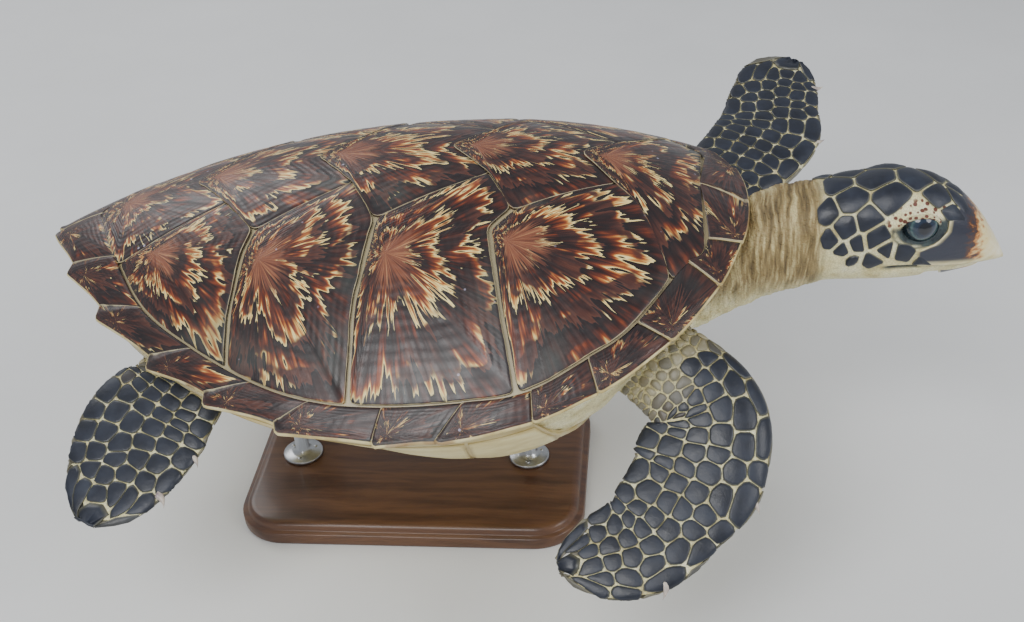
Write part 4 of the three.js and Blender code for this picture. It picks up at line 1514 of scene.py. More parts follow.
class TreeBuilder:
    """Short calls to build a Geometry Nodes tree."""

    def __init__(self, name: str, inputs: dict[str, tuple[str, float | None]]) -> None:
        """Starts a tree with a geometry input, named inputs and a geometry output."""
        self.tree = bpy.data.node_groups.new(name, "GeometryNodeTree")
        tree_socket(self.tree, "Geometry", "NodeSocketGeometry")
        for key, (kind, value) in inputs.items():
            tree_socket(self.tree, key, kind, value=value)
        tree_socket(self.tree, "Geometry", "NodeSocketGeometry", out=True)
        self.inputs = self.tree.nodes.new("NodeGroupInput").outputs
        self.end = self.tree.nodes.new("NodeGroupOutput")

    def node(
        self, kind: str, inputs: dict[int | str, object] | None = None, **settings: object
    ) -> bpy.types.Node:
        """A new node with its settings and inputs."""
        return new_node(self.tree, kind, inputs, settings)

    def finish(self, geometry: Socket) -> bpy.types.NodeTree:
        """Realizes instances, sets the material and closes the tree."""
        whole = self.node("GeometryNodeRealizeInstances", {0: geometry})
        dressed = self.node("GeometryNodeSetMaterial",
                            {"Geometry": whole.outputs[0], "Material": self.inputs["Finish"]})
        self.tree.links.new(dressed.outputs[0], self.end.inputs[0])
        return self.tree


def raise_plates_tree() -> bpy.types.NodeTree:
    """Turns flat patches into closed plates with upright sides and a swollen top."""
    build = TreeBuilder("raise_plates", {
        "Height": ("NodeSocketFloat", 0.001), "Dome": ("NodeSocketFloat", 0.001),
        "Finish": ("NodeSocketMaterial", None),
    })
    bottom = build.node("GeometryNodeFlipFaces", {0: build.inputs["Geometry"]})
    raised = build.node("GeometryNodeExtrudeMesh", {
        "Mesh": build.inputs["Geometry"], "Offset Scale": build.inputs["Height"], "Individual": False,
    }, mode="FACES")
    crown = build.node("GeometryNodeInputNamedAttribute", {"Name": "crown"}, data_type="FLOAT")
    swell = build.node("ShaderNodeMath", {0: crown.outputs["Attribute"], 1: build.inputs["Dome"]},
                       operation="MULTIPLY")
    normal = build.node("GeometryNodeInputNormal")
    offset = build.node("ShaderNodeVectorMath", {0: normal.outputs[0], "Scale": swell.outputs[0]},
                        operation="SCALE")
    domed = build.node("GeometryNodeSetPosition", {
        "Geometry": raised.outputs["Mesh"], "Selection": raised.outputs["Top"], "Offset": offset.outputs[0],
    })
    both = build.node("GeometryNodeJoinGeometry")
    build.tree.links.new(bottom.outputs[0], both.inputs[0])
    build.tree.links.new(domed.outputs[0], both.inputs[0])
    merged = build.node("GeometryNodeMergeByDistance", {"Geometry": both.outputs[0], "Distance": 1e-6})
    shaded = build.node("GeometryNodeSetShadeSmooth", {"Geometry": merged.outputs[0]})
    return build.finish(shaded.outputs[0])


@dataclass(frozen=True)
class FlipperScales:
    """How a flipper's scales are laid out: tracks along it, with larger scales on its edges."""

    root: float = 0.07
    grown: float = 0.34
    tracks: tuple[float, ...] = (-0.86, -0.52, -0.18, 0.16, 0.50, 0.84)
    length: float = 0.0150
    edge_length: float = 0.0215
    small_length: float = 0.0042

    def chart(self, form: FlipperForm) -> SurfaceMap:
        """The flipper's map."""
        t = np.minimum(np.linspace(self.root - 0.03, 1, 96), 0.9995)
        angle = np.linspace(-math.pi / 2, 1.5 * math.pi, 97)
        sections = np.stack([form.point(np.full(len(angle), v), angle) for v in t])
        centre = form.frame(t)[0]
        run = np.concatenate([[0], np.cumsum(np.linalg.norm(np.diff(centre, axis=0), axis=1))])
        return SurfaceMap.of(run, sections, float(np.interp(1 - form.tip, t, run)))

    def sites(self, chart: SurfaceMap, seed: int) -> list[Site]:
        """The scales' places."""
        rng = np.random.default_rng(seed)
        length = chart.p[-1]
        grown_p = length * (self.grown - self.root) / (1 - self.root)
        sites = []
        for under in (False, True):
            for track in self.tracks:
                on_edge = abs(track) > 0.8
                step = self.edge_length if on_edge else self.length
                start = grown_p * ((1.15 if track > 0.3 else 0.70) + rng.uniform(-0.15, 0.35))
                p = start
                while p < length - (0.013 if on_edge else 0.022):
                    half = float(chart.reach(np.array([p]))[0]) / 2
                    if half > 0.010:
                        q = track * half + rng.normal(0, 0.0011)
                        if under:
                            q = math.copysign(2 * half, q) - q
                        pale = rng.uniform(0.05, 0.35) if under else 0.0
                        size = step * rng.uniform(0.42, 0.58)
                        sites.append(Site(p + rng.normal(0, 0.0012), q, size, 0.0009 if under else 0.00030,
                                          float(rng.uniform(0.1, 0.7)), pale))
                    p += step * rng.uniform(0.82, 1.2) * lerp(0.62, 1.0, float(ease(p, start, start + 0.03)))
            if not under:
                sites.append(Site(length - 0.009, 0.0, 0.014, 0.0006, 0.4))
        p = 0.003
        while p < grown_p * 1.25:
            grow = p / (grown_p * 1.25)
            step = lerp(self.small_length, self.length * 0.74, grow**1.3)
            low, high = float(chart.reach(np.array([p]), low=True)[0]), float(chart.reach(np.array([p]))[0])
            count = max(int((high - low) / step), 6)
            shift = rng.uniform(0, 1)
            for i in range(count):
                q = lerp(low, high, (i + shift) / count)
                taken = any(abs(site.p - p) < (step + self.length) * 0.40 and
                            abs(site.q - q) < (step + self.length) * 0.40 for site in sites
                            if site.size > step * 0.55)
                if not taken:
                    pale = float(rng.uniform(0.25, 0.85)) * (1 - float(ease(grow, 0.25, 0.8)))
                    sites.append(Site(p + rng.normal(0, step * 0.12), q + rng.normal(0, step * 0.12),
                                      step * rng.uniform(0.42, 0.6), 0.0004 + 0.0003 * (1 - grow),
                                      float(rng.uniform(0.5, 1.0)), pale))
            p += step
        return sites


@dataclass(frozen=True)
class HeadShields:
    """The head's named shields: places in millimetres along X and round from the middle of the crown."""

    middle: tuple[tuple[str, float, float, float], ...] = (
        ("crown", 399, 0, 15), ("brow", 431, 0, 12), ("nape", 369, 0, 11),
    )
    pairs: tuple[tuple[str, float, float, float], ...] = (
        ("forehead", 449, 16, 11), ("snout", 465, 9, 6), ("before_eye", 457, 23.5, 8.5),
        ("over_eye", 409, 25, 15),
        ("temple", 379, 20, 12), ("rear_temple", 360, 27, 9), ("cheek_upper", 392, 38, 9),
        ("cheek_rear", 375, 42, 9), ("neck_side", 362, 50, 8), ("behind_eye", 399, 55, 10),
        ("jaw_corner", 397, 76, 8), ("cheek_small", 405, 68, 4), ("under_eye", 423, 70, 9),
        ("lip", 437, 76, 5), ("ear", 384, 58, 5), ("neck_dot", 374, 62, 4), ("throat_dot", 381, 73, 3),
    )
    midline: float = 0.004
    blank_eye: tuple[float, float, float, float] = (433, 45, 15, 10)
    blank: tuple[tuple[float, float], ...] = (
        (350, 0), (348, 14), (346, 28), (348, 42), (350, 54), (356, 66), (368, 74), (384, 88), (404, 94),
        (420, 92), (440, 88), (480, 4), (480, 16), (464, 35), (459, 46), (453, 60), (442, 66),
    )

    def chart(self) -> SurfaceMap:
        """The head's map: q grows to the animal's right."""
        x = np.linspace(0.340, 0.500, 120)
        angle = np.linspace(-math.pi / 2, 1.5 * math.pi, 161)
        return SurfaceMap.of(x, np.stack([HEAD.point(np.full(len(angle), v), angle) for v in x]))

    def sites(self) -> list[Site]:
        """The shields' places on both sides, with blank places about the eyes, the neck and the bill."""
        rng = np.random.default_rng(31)
        sites = [Site(x * MM, self.midline + d * MM, size * MM, 0.0007, 0.15)
                 for _, x, d, size in self.middle]
        for side in (1, -1):
            for _, x, d, size in self.pairs:
                q = self.midline + side * d * MM
                seam = lerp(0.0007, 0.0020, ease(d, 34, 72))
                sites.append(Site(x * MM, q, size * MM, float(seam), float(rng.uniform(0.05, 0.4))))
            ex, ed, ew, eh = self.blank_eye
            for i in range(9):
                turn, share = i * 2 * math.pi / 8, 0.0 if i == 8 else 1.0
                sites.append(Site((ex + share * ew * math.cos(turn)) * MM,
                                  self.midline + side * (ed + share * eh * math.sin(turn)) * MM,
                                  0.004, built=False))
            for x, d in self.blank:
                sites.append(Site(x * MM, self.midline + side * d * MM, 0.006, built=False))
        return sites


# ---------------------------------------------------------------- flesh

# where the upper sheath of the bill ends, as height and x
BILL_BORDER: tuple[Point, ...] = ((0.020, 0.440), (0.044, 0.432), (0.053, 0.432), (0.059, 0.446),
                                  (0.069, 0.4545), (0.080, 0.456), (0.087, 0.466), (0.130, 0.478))


@dataclass
class Skin:
    """One skin over trunk, neck, head, tail and flippers, with lids, folds and the mouth's crease."""

    inset: float = 0.0009
    open_lift: float = 0.0015
    covered_lift: float = 0.0075
    belly_reach: float = 0.985
    voxel: float = 0.0019
    target: int = 190_000
    lid_long: float = 0.0152
    lid_tall: float = 0.0118
    lid_tilt: float = math.radians(-8)
    lid_rise: float = 0.0012

    def trunk(self) -> Array:
        """The trunk's closed rings, from the middle of the back out and round to the belly."""
        turn = np.linspace(0, 2 * math.pi, 120, endpoint=False)
        s = (1 - np.cos(turn)) / 2
        side = np.sign(np.sin(turn))
        reach = BELLY.flesh_reach(s)
        rings = []
        for share in np.linspace(0.03, 1, 12):
            x, y = SHELL.x(s) * reach * share, SHELL.outline(s) * reach * share
            local = SHELL.s(x)
            z = SHELL.dome(local, y / np.maximum(SHELL.outline(local), 1e-4))
            z = z - lerp(0.017, 0.008, float(ease(share, 0.6, 1.0)))
            rings.append(np.stack([x, side * y, z], -1))
        for rho in 1 - np.linspace(0.015, 0.97, 16) ** 1.3:
            x, y, _ = BELLY.height(s, rho, reach, 0.0)
            # the flesh lifts where the belly shell covers it, and drops towards that shell at both ends
            covered = ease(BELLY.outline(x) - np.abs(y), 0.004, 0.018)
            lift = lerp(self.open_lift, self.covered_lift, covered)
            z = BELLY.height(s, rho, reach, lift)[2]
            low = BELLY.height(s, rho * reach / self.belly_reach, self.belly_reach, lift)[2]
            low = np.maximum(low, BELLY.height(s, rho, reach, self.open_lift)[2])
            z = lerp(z, low, np.maximum(ease(-x, -0.02, 0.06), 0.8 * ease(x, 0.10, 0.17)))
            rings.append(np.stack([x, side * y, z], -1))
        return np.array(rings)

    def forms(self) -> bpy.types.Mesh:
        """All the flesh as overlapping closed forms."""
        work = Patchwork()
        work.add(*loft(self.trunk()))
        angle = np.linspace(0, 2 * math.pi, 72, endpoint=False)
        for stations in (HEAD.stations, HEAD.jaw_stations):
            start, end = stations[0].x * MM, stations[-1].x * MM
            rows = lerp(start, end, 1 - (1 - np.linspace(0, 0.995, 90)) ** 1.25)
            sections = [HEAD.point(np.full(72, x), angle, -self.inset, stations) for x in rows]
            sections = np.array(sections)
            if stations is HEAD.jaw_stations:
                roof = HEAD.mouth(sections[:, :, 0]) - 0.0006
                sections[:, :, 2] = np.minimum(sections[:, :, 2], roof)
            work.add(*loft(sections))
        for form in FLIPPERS:
            rows = 1 - (1 - np.linspace(0, 0.999, 70)) ** 1.25
            work.add(*loft(np.array([form.point(np.full(72, t), angle, -self.inset) for t in rows])))
        tail_rows = np.linspace(0, 1, 24)
        radius = lerp(TAIL.radius, TAIL.tip_radius, tail_rows) - self.inset
        radius[-1] *= 0.4
        x, z = lerp(TAIL.start, TAIL.end, tail_rows), lerp(TAIL.z, TAIL.tip_z, tail_rows)
        tail = [np.stack([x[i] + 0 * angle, radius[i] * np.cos(angle),
                          z[i] + 0.85 * radius[i] * np.sin(angle)], -1)
                for i in range(24)]
        work.add(*loft(np.array(tail)))
        return turned_out(work.mesh("skin"))

    def eye_place(self, points: Array, side: int) -> tuple[Array, Array, Array]:
        """Where points lie about an eye.

        Args:
            points: The points.
            side: Which eye.

        Returns:
            Along and up in the tilted lids' own frame, and the share of the way out to their rim.
        """
        dx, dz = points[:, 0] - HEAD.eye_x, points[:, 2] - HEAD.eye_z
        u = dx * math.cos(self.lid_tilt) - dz * math.sin(self.lid_tilt)
        v = dx * math.sin(self.lid_tilt) + dz * math.cos(self.lid_tilt)
        away = np.hypot(u / self.lid_long, v / self.lid_tall)
        near = (side * (points[:, 1] - HEAD.middle(HEAD.eye_x)) > 0.012) & (np.abs(dx) < 0.06)
        return u, v, np.where(near, away, 9.0)

    def eyeball(self, points: Array) -> Array:
        """How far out the eyeball's surface is over points, as a distance from the face's middle."""
        spread = (points[:, 0] - HEAD.eye_x) ** 2 + (points[:, 2] - HEAD.eye_z) ** 2
        return HEAD.eye_out + np.sqrt(np.maximum(HEAD.eye_radius**2 - spread, 0))

    def sculpt(self, mesh: bpy.types.Mesh) -> None:
        """Adds the lids, the neck's folds and the mouth's crease, and the values that colour them, with
        painted shade below the eyes and along the mouth's crease.
        """
        points, normals = coordinates(mesh), vertex_normals(mesh)
        x, y, z = points.T
        neck = ease(x, 0.215, 0.260) * (1 - ease(x, 0.345, 0.372)) * (np.abs(y) < 0.085)
        wave = np.column_stack([x * 2.2, y * 0.25, z * 0.35])
        folds = np.abs(ripple(wave, 26, 3, 2)) - 0.4
        points = points + normals * (neck * (0.0013 * folds + 0.0006 * ripple(points, 60, 4, 2)))[:, None]
        limbs = np.abs(y) > 0.12
        points = points + normals * (limbs * 0.0004 * ripple(points, 40, 8, 2))[:, None]
        lid = np.zeros(len(points))
        dusk = np.zeros(len(points))
        for side in (1, -1):
            middle = HEAD.middle(HEAD.eye_x)
            u, v, away = self.eye_place(points, side)
            ball = self.eyeball(points)
            out = side * (points[:, 1] - middle)
            inside = 1 - ease(away, 0.90, 1.02)
            rim = ease(away, 0.98, 1.06) * (1 - ease(away, 1.15, 1.75))
            target = lerp(out, ball - 0.0022, inside)
            ridge = np.maximum(ball + self.lid_rise, out + 0.0004)
            target = lerp(target, lerp(out, ridge, 0.92), rim)
            crease = np.exp(-((away - 1.55) / 0.09) ** 2) - 0.6 * np.exp(-((away - 1.30) / 0.09) ** 2)
            target = target - 0.0007 * crease
            points[:, 1] = np.where(away < 3, middle + side * target, points[:, 1])
            lid = np.maximum(lid, (1 - ease(away, 1.7, 2.0)) * (away < 3) * ease(v, 0.003, 0.006))
            wide = np.hypot(u / 0.0142, v / 0.0104)
            fold = np.exp(-(((wide - 1.42) / 0.10) ** 2)) * ease(-u, -0.002, 0.006) * ease(-v, -0.003, 0.002)
            # Painted shade over the lower part of each eye's surround, lighter on the fold below it.
            shade = (1 - ease(wide, 1.50, 1.75)) * (away < 3) * (1 - ease(v, 0.002, 0.006)) * (1 - 0.8 * fold)
            dusk = np.maximum(dusk, shade)
        middle = math.tan(HEAD.turn) * np.maximum(x - HEAD.turn_from, 0)
        on_lips = ease(x, 0.403, 0.412) * (np.abs(y - middle) > 0.006)
        gap = np.abs(z - (HEAD.mouth(x) - HEAD.gape / 2))
        inwards = on_lips * (1 - ease(gap, 0.0003, 0.0026)) * 0.0026
        # Painted shade along the mouth's crease.
        dusk = np.maximum(dusk, on_lips * (1 - ease(gap, 0.0009, 0.0028)))
        points = points - normals * inwards[:, None]
        heights, backs = zip(*BILL_BORDER)
        border = np.interp(z, heights, backs)
        under_bill = ease(x, border, border + 0.004)
        core = np.column_stack([x - 0.0005, middle, lerp(z, HEAD.section(HEAD.stations, x)[1], 0.5)])
        points = points + unit(core - points) * (0.0014 * under_bill)[:, None]
        set_coordinates(mesh, points)
        on_head = ease(x, 0.352, 0.366)
        khaki = ease(x, 0.19, 0.24) * (1 - on_head) * ease(z, -0.010, 0.030) * (np.abs(y) < 0.1)
        root = (1 - on_head) * limbs * ease(0.155 - np.abs(y), -0.03, 0.01) * 0.35
        set_value(mesh, "khaki", np.clip(khaki + root, 0, 1))
        set_value(mesh, "lid", lid)
        set_value(mesh, "dusk", dusk)
        set_value(mesh, "granule", np.clip(neck * (1 - on_head), 0, 1))

    def lid_rims(self) -> bpy.types.Mesh:
        """The four lids' rounded rims as closed tubes."""
        work = Patchwork()
        turn = np.linspace(0, 2 * math.pi, 96, endpoint=False)
        around = np.linspace(0, 2 * math.pi, 10, endpoint=False)
        for side in (1, -1):
            u, v = self.lid_long * np.cos(turn), self.lid_tall * np.sin(turn)
            dx = u * math.cos(self.lid_tilt) + v * math.sin(self.lid_tilt)
            dz = -u * math.sin(self.lid_tilt) + v * math.cos(self.lid_tilt)
            flat = np.column_stack([HEAD.eye_x + dx, 0 * dx, HEAD.eye_z + dz])
            out = self.eyeball(flat)
            flat[:, 1] = HEAD.middle(HEAD.eye_x) + side * (out + 0.0003)
            thick = lerp(0.0011, 0.0019, ease(np.sin(turn), -0.2, 0.7))
            along = unit(np.roll(flat, -1, 0) - np.roll(flat, 1, 0))
            centre = np.array([HEAD.eye_x, HEAD.middle(HEAD.eye_x) + side * HEAD.eye_out, HEAD.eye_z])
            outward = unit(flat - centre)
            across = np.cross(along, outward)
            tube = (flat[:, None] + thick[:, None, None] * (outward[:, None] * np.cos(around)[None, :, None]
                                                           + across[:, None] * np.sin(around)[None, :, None]))
            faces = grid_faces(len(turn), len(around), wrap=True)
            last = (len(turn) - 1) * len(around)
            for j in range(len(around)):
                k = (j + 1) % len(around)
                faces.append((last + j, last + k, k, j))
            upper = np.repeat(ease(np.sin(turn), -0.1, 0.3), len(around))
            # The lower rims carry painted shade; the upper ones carry the lid's spots.
            work.add(tube.reshape(-1, 3), faces, khaki=0.0, lid=upper, dusk=1 - 0.8 * upper, granule=0.0)
        return turned_out(work.mesh("lid_rims"))

    def build(self, finish: bpy.types.Material) -> bpy.types.Object:
        """Makes the skin as one closed mesh.

        Args:
            finish: The skin's material.

        Returns:
            The piece.
        """
        thing = make_object("skin", self.forms())
        voxels = thing.modifiers.new("whole", "REMESH")
        voxels.mode = "VOXEL"
        voxels.voxel_size = self.voxel
        settle = thing.modifiers.new("settle", "SMOOTH")
        settle.factor = 0.5
        settle.iterations = 3
        baked(thing, "skin")
        self.sculpt(thing.data)
        faces = len(thing.data.polygons) * 2
        LOG.info("skin has %d triangles before it is thinned", faces)
        if faces > self.target:
            thin = thing.modifiers.new("thin", "DECIMATE")
            thin.ratio = self.target / faces
            baked(thing, "skin")
        rims = make_object("lid_rims", self.lid_rims())
        joined = bmesh.new()
        joined.from_mesh(thing.data)
        joined.from_mesh(rims.data)
        joined.to_mesh(thing.data)
        joined.free()
        bpy.data.objects.remove(rims)
        raised_to_stand(thing.data)
        thing.data.materials.clear()
        thing.data.materials.append(finish)
        thing.data.polygons.foreach_set("use_smooth", np.ones(len(thing.data.polygons), bool))
        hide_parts("trunk", "neck", "head", "tail", *(form.name for form in FLIPPERS))
        LOG.info("skin has %d faces", len(thing.data.polygons))
        return thing


@dataclass(frozen=True)
class Bill:
    """The two horn sheaths of the bill, each a thin shell over its jaw."""

    lower_border: tuple[Point, ...] = ((0.0, 0.462), (0.030, 0.452), (0.060, 0.452))
    proud: float = 0.0006
    thick: float = 0.0030
    rows: int = 40
    columns: int = 72

    def sheath(self, upper: bool) -> bpy.types.Mesh:
        """One sheath as a closed shell."""
        stations = HEAD.stations if upper else HEAD.jaw_stations
        border = BILL_BORDER if upper else self.lower_border
        tip = stations[-1].x * MM - 0.0004
        f = np.linspace(0, 1, self.columns)
        drop = 0.0 if upper else HEAD.gape

        def angles(x: Array) -> Array:
            """The angle of each column at its own x, from lip to lip."""
            _, z, tall, _ = HEAD.section(stations, x)
            up = np.clip((HEAD.mouth(x) - drop - z) / tall, -0.98, 0.98)
            low = np.arcsin(np.sign(up) * np.abs(up) ** (HEAD.squareness / 2))
            return lerp(math.pi - low, low, f) if upper else lerp(low, -math.pi - low, f)

        heights, backs = zip(*border)
        start = np.full(self.columns, 0.46)
        for _ in range(8):
            z = HEAD.point(start, angles(start), 0, stations)[:, 2]
            start = lerp(start, np.interp(z, heights, backs), 0.6)
        shells = []
        for grow in (self.proud, self.proud - self.thick):
            rows = []
            for u in np.linspace(0, 1, self.rows):
                x = lerp(start, tip, 1 - (1 - u) ** 1.3)
                taper = grow * min(1.0, (1 - u) * 6 + 0.1)
                rim = 1 - 0.85 * (1 - ease(u, 0.0, 0.06))
                rows.append(HEAD.point(x, angles(x), taper * (rim if grow > 0 else 1.0), stations))
            shells.append(np.array(rows))
        outer, inner = shells
        count = self.rows * self.columns
        points = np.concatenate([outer.reshape(-1, 3), inner.reshape(-1, 3)])
        faces = grid_faces(self.rows, self.columns)
        faces += [tuple(reversed([i + count for i in face])) for face in grid_faces(self.rows, self.columns)]
        loop = [j for j in range(self.columns)]
        loop += [i * self.columns + self.columns - 1 for i in range(1, self.rows)]
        loop += [(self.rows - 1) * self.columns + j for j in range(self.columns - 2, -1, -1)]
        loop += [i * self.columns for i in range(self.rows - 2, 0, -1)]
        for a, b in zip(loop, loop[1:] + loop[:1]):
            faces.append((b, a, a + count, b + count))
        low = 0.448 if upper else 0.436
        tipward = np.clip((points[:, 0] - low) / (0.506 - low), 0, 1)
        clear = np.abs(points[:, 2] - HEAD.mouth(points[:, 0]) + drop)
        lip = (1 - ease(clear, 0.0015, 0.0065)) if upper else (1 - ease(clear, 0.004, 0.010))
        from_border = points[:, 0] - np.tile(start, 2 * self.rows)
        lip = np.maximum(lip, 1 - ease(from_border, 0.0008, 0.0026))
        work = Patchwork()
        work.add(points, faces, tipward=tipward, lip=lip)
        return raised_to_stand(turned_out(work.mesh("bill_upper_sheath" if upper else "bill_lower_sheath")))

    def build(self, finish: bpy.types.Material) -> list[bpy.types.Object]:
        """Makes both sheaths."""
        pieces = []
        for upper, node in ((True, "bill_upper"), (False, "bill_lower")):
            mesh = self.sheath(upper)
            mesh.materials.append(finish)
            thing = make_object(mesh.name, mesh)
            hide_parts(node)
            pieces.append(thing)
        return pieces


@dataclass(frozen=True)
class Eyes:
    """Two eyeballs, each with a slightly raised clear front."""

    steps: int = 56
    look_ahead: float = 0.16
    look_up: float = 0.16
    bulge: float = 0.0006

    def ball(self, side: int) -> bpy.types.Mesh:
        """One eyeball whose pole looks outwards."""
        axis = unit(np.array([self.look_ahead, side, self.look_up]))
        across = unit(np.cross([0, 0, 1.0], axis))
        up = np.cross(axis, across)
        away = np.linspace(0.02, math.pi - 0.02, self.steps)
        turn = np.linspace(0, 2 * math.pi, 64, endpoint=False)
        radius = HEAD.eye_radius - 0.0006 + self.bulge * np.exp(-((away / 0.5) ** 2))
        ring = across[None] * np.cos(turn)[:, None] + up[None] * np.sin(turn)[:, None]
        sections = (axis[None, None] * np.cos(away)[:, None, None]
                    + ring[None] * np.sin(away)[:, None, None]) * radius[:, None, None]
        points, faces = loft(sections)
        value = np.clip(np.concatenate([np.repeat(away, 64), [0, math.pi]]) / 1.2, 0, 1)
        centre = np.array([HEAD.eye_x, HEAD.middle(HEAD.eye_x) + side * HEAD.eye_out, HEAD.eye_z])
        work = Patchwork()
        work.add(points + centre, faces, away=value)
        return raised_to_stand(turned_out(work.mesh("eyeball_left" if side > 0 else "eyeball_right")))

    def build(self, finish: bpy.types.Material) -> list[bpy.types.Object]:
        """Makes both eyeballs."""
        pieces = []
        for side, node in ((1, "eye_left"), (-1, "eye_right")):
            mesh = self.ball(side)
            mesh.materials.append(finish)
            thing = make_object(mesh.name, mesh)
            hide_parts(node)
            pieces.append(thing)
        return pieces


@dataclass(frozen=True)
class Claws:
    """Blunt curved claws on the flippers' leading edges."""

    length: float = 0.0135
    radius: float = 0.0040
    sink: float = 0.0065

    def claw(self, form: FlipperForm, t: float, name: str) -> bpy.types.Mesh:
        """One claw as a curved cone."""
        centre, forward, upward = (vectors[0] for vectors in form.frame(np.array([t])))
        half = float(form.sizes(np.array([t]))[0][0])
        outward = unit(np.cross(forward, upward)) * -form.side
        root = centre + forward * (half - self.sink)
        turn = np.linspace(0, 2 * math.pi, 20, endpoint=False)
        rows = []
        for v in np.linspace(0, 1, 16):
            size = self.radius * max(1 - v**1.5, 0.06)
            middle = root + forward * v * self.length * (1 - 0.25 * v) + outward * v * v * self.length * 0.55
            ring = outward * np.cos(turn)[:, None] + upward * (0.8 * np.sin(turn))[:, None]
            rows.append(middle + size * ring)
        work = Patchwork()
        points, faces = loft(np.array(rows))
        work.add(points, faces)
        return raised_to_stand(turned_out(work.mesh(name)))

    def build(self, finish: bpy.types.Material) -> list[bpy.types.Object]:
        """Makes the eight claws."""
        pieces = []
        for form in FLIPPERS:
            for number, t in enumerate(form.claws, 1):
                node = f"{form.name.replace('flipper', 'claw')}_{number}"
                mesh = self.claw(form, t, node + "_horn")
                mesh.materials.append(finish)
                thing = make_object(mesh.name, mesh)
                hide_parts(node)
                pieces.append(thing)
        return pieces


# ---------------------------------------------------------------- the belly shell


@dataclass
class Plastron:
    """The belly shell: a bed and its pairs of plates, with the small plates of the bridges."""

    seams_x: tuple[float, ...] = (0.205, 0.172, 0.118, 0.030, -0.066, -0.142, -0.212)
    bridge_x: tuple[float, ...] = (0.150, 0.086, 0.020, -0.046, -0.112)
    split: float = 0.64
    reach: float = 0.985
    inset: float = 0.0014
    inner_lift: float = 0.0062

    def surface(self, x: Array, y: Array, lift: float = 0.0) -> Array:
        """Points of the bowl's outer face over places in plan."""
        s = np.linspace(0.0005, 0.9995, 600)
        bearing = np.arctan2(SHELL.outline(s), SHELL.x(s))
        here = np.arctan2(np.abs(y), x)
        at = np.interp(here, bearing, s)
        far = np.hypot(SHELL.x(at), SHELL.outline(at)) * self.reach
        rho = np.clip(np.hypot(x, y) / far, 0, 1)
        _, _, z = BELLY.height(at, rho, self.reach, lift)
        return np.stack([x, y, z], -1)

    def half_width(self, x: Array) -> Array:
        """Half the belly shell's width, kept inside the rim."""
        return np.minimum(BELLY.outline(x), SHELL.outline(SHELL.s(x / self.reach)) * self.reach - 0.0006)

    def bed(self) -> bpy.types.Mesh:
        """The closed bed under the plates."""
        angle = np.linspace(0, math.pi, 90)
        x = (BELLY.front + BELLY.rear) / 2 + (BELLY.front - BELLY.rear) / 2 * np.cos(angle)
        v = np.sin(np.linspace(-math.pi / 2, math.pi / 2, 80))
        half = np.maximum(self.half_width(x), 0.001)
        grid_x = np.broadcast_to(x[:, None], (90, 80))
        grid_y = half[:, None] * v[None]
        outer = self.surface(grid_x, grid_y)
        edge = ease(np.abs(v), 0.985, 1.0)[None, :, None]
        inner = self.surface(grid_x * 0.996, grid_y * 0.988)
        inner[:, :, 2] += self.inner_lift * (1 - 0.4 * edge[:, :, 0])
        count = 90 * 80
        faces = grid_faces(90, 80)
        faces += [tuple(reversed([i + count for i in face])) for face in grid_faces(90, 80)]
        loop = [j for j in range(80)] + [i * 80 + 79 for i in range(1, 90)]
        loop += [89 * 80 + j for j in range(78, -1, -1)] + [i * 80 for i in range(88, 0, -1)]
        for a, b in zip(loop, loop[1:] + loop[:1]):
            faces.append((b, a, a + count, b + count))
        work = Patchwork()
        work.add(np.concatenate([outer.reshape(-1, 3), inner.reshape(-1, 3)]), faces, crown=0.0, stain=0.0)
        return raised_to_stand(turned_out(work.mesh("plastron_bed")))

    def patches(self) -> bpy.types.Mesh:
        """The plates' flat patches."""
        work = Patchwork()
        rng = np.random.default_rng(12)
        spans = [(a, b, 0.0, self.split) for a, b in zip(self.seams_x, self.seams_x[1:])]
        spans = [(a, b, lo, hi if b > -0.2 and a < 0.18 else 0.97) for a, b, lo, hi in spans]
        spans += [(a, b, self.split, 0.985) for a, b in zip(self.bridge_x, self.bridge_x[1:])]
        rows, columns = 16, 18
        for side in (1, -1):
            for front, rear, low, high in spans:
                a = np.linspace(front - self.inset, rear + self.inset, rows)
                bow = 0.010 * (low == 0.0)
                grid_v = np.linspace(0, 1, columns)
                x = a[:, None] - bow * np.sin(grid_v * 2.6)[None] * 0.8
                half = self.half_width(x)
                gap = self.inset / np.maximum(half, 0.02)
                v = lerp(low + gap, high - gap, grid_v[None])
                points = self.surface(x, side * v * half)
                edge = np.minimum.reduce([
                    np.broadcast_to(np.linspace(0, 1, rows)[:, None], x.shape),
                    np.broadcast_to(1 - np.linspace(0, 1, rows)[:, None], x.shape),
                    np.broadcast_to(grid_v[None], x.shape), np.broadcast_to(1 - grid_v[None], x.shape),
                ])
                crown = ease(edge, 0, 0.3)
                faces = grid_faces(rows, columns)
                if side > 0:
                    faces = [tuple(reversed(face)) for face in faces]
                stain = float(rng.uniform(0, 1)) if low > 0 else 0.0
                work.add(points.reshape(-1, 3), faces, crown=crown.ravel(), stain=stain)
        mesh = raised_to_stand(work.mesh("plastron_plates"))
        normals = vertex_normals(mesh)
        if normals[:, 2].mean() > 0:
            mesh.flip_normals()
            mesh.update()
        return mesh

    def build(self, tree: bpy.types.NodeTree, finish: bpy.types.Material) -> list[bpy.types.Object]:
        """Makes the bed and raises the plates."""
        bed = self.bed()
        bed.materials.append(finish)
        pieces = [make_object("plastron_bed", bed)]
        plates = make_object("plastron_plates", self.patches())
        run_tree(plates, tree, {"Height": 0.0007, "Dome": 0.0006, "Finish": finish})
        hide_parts("plastron")
        return pieces + [plates]


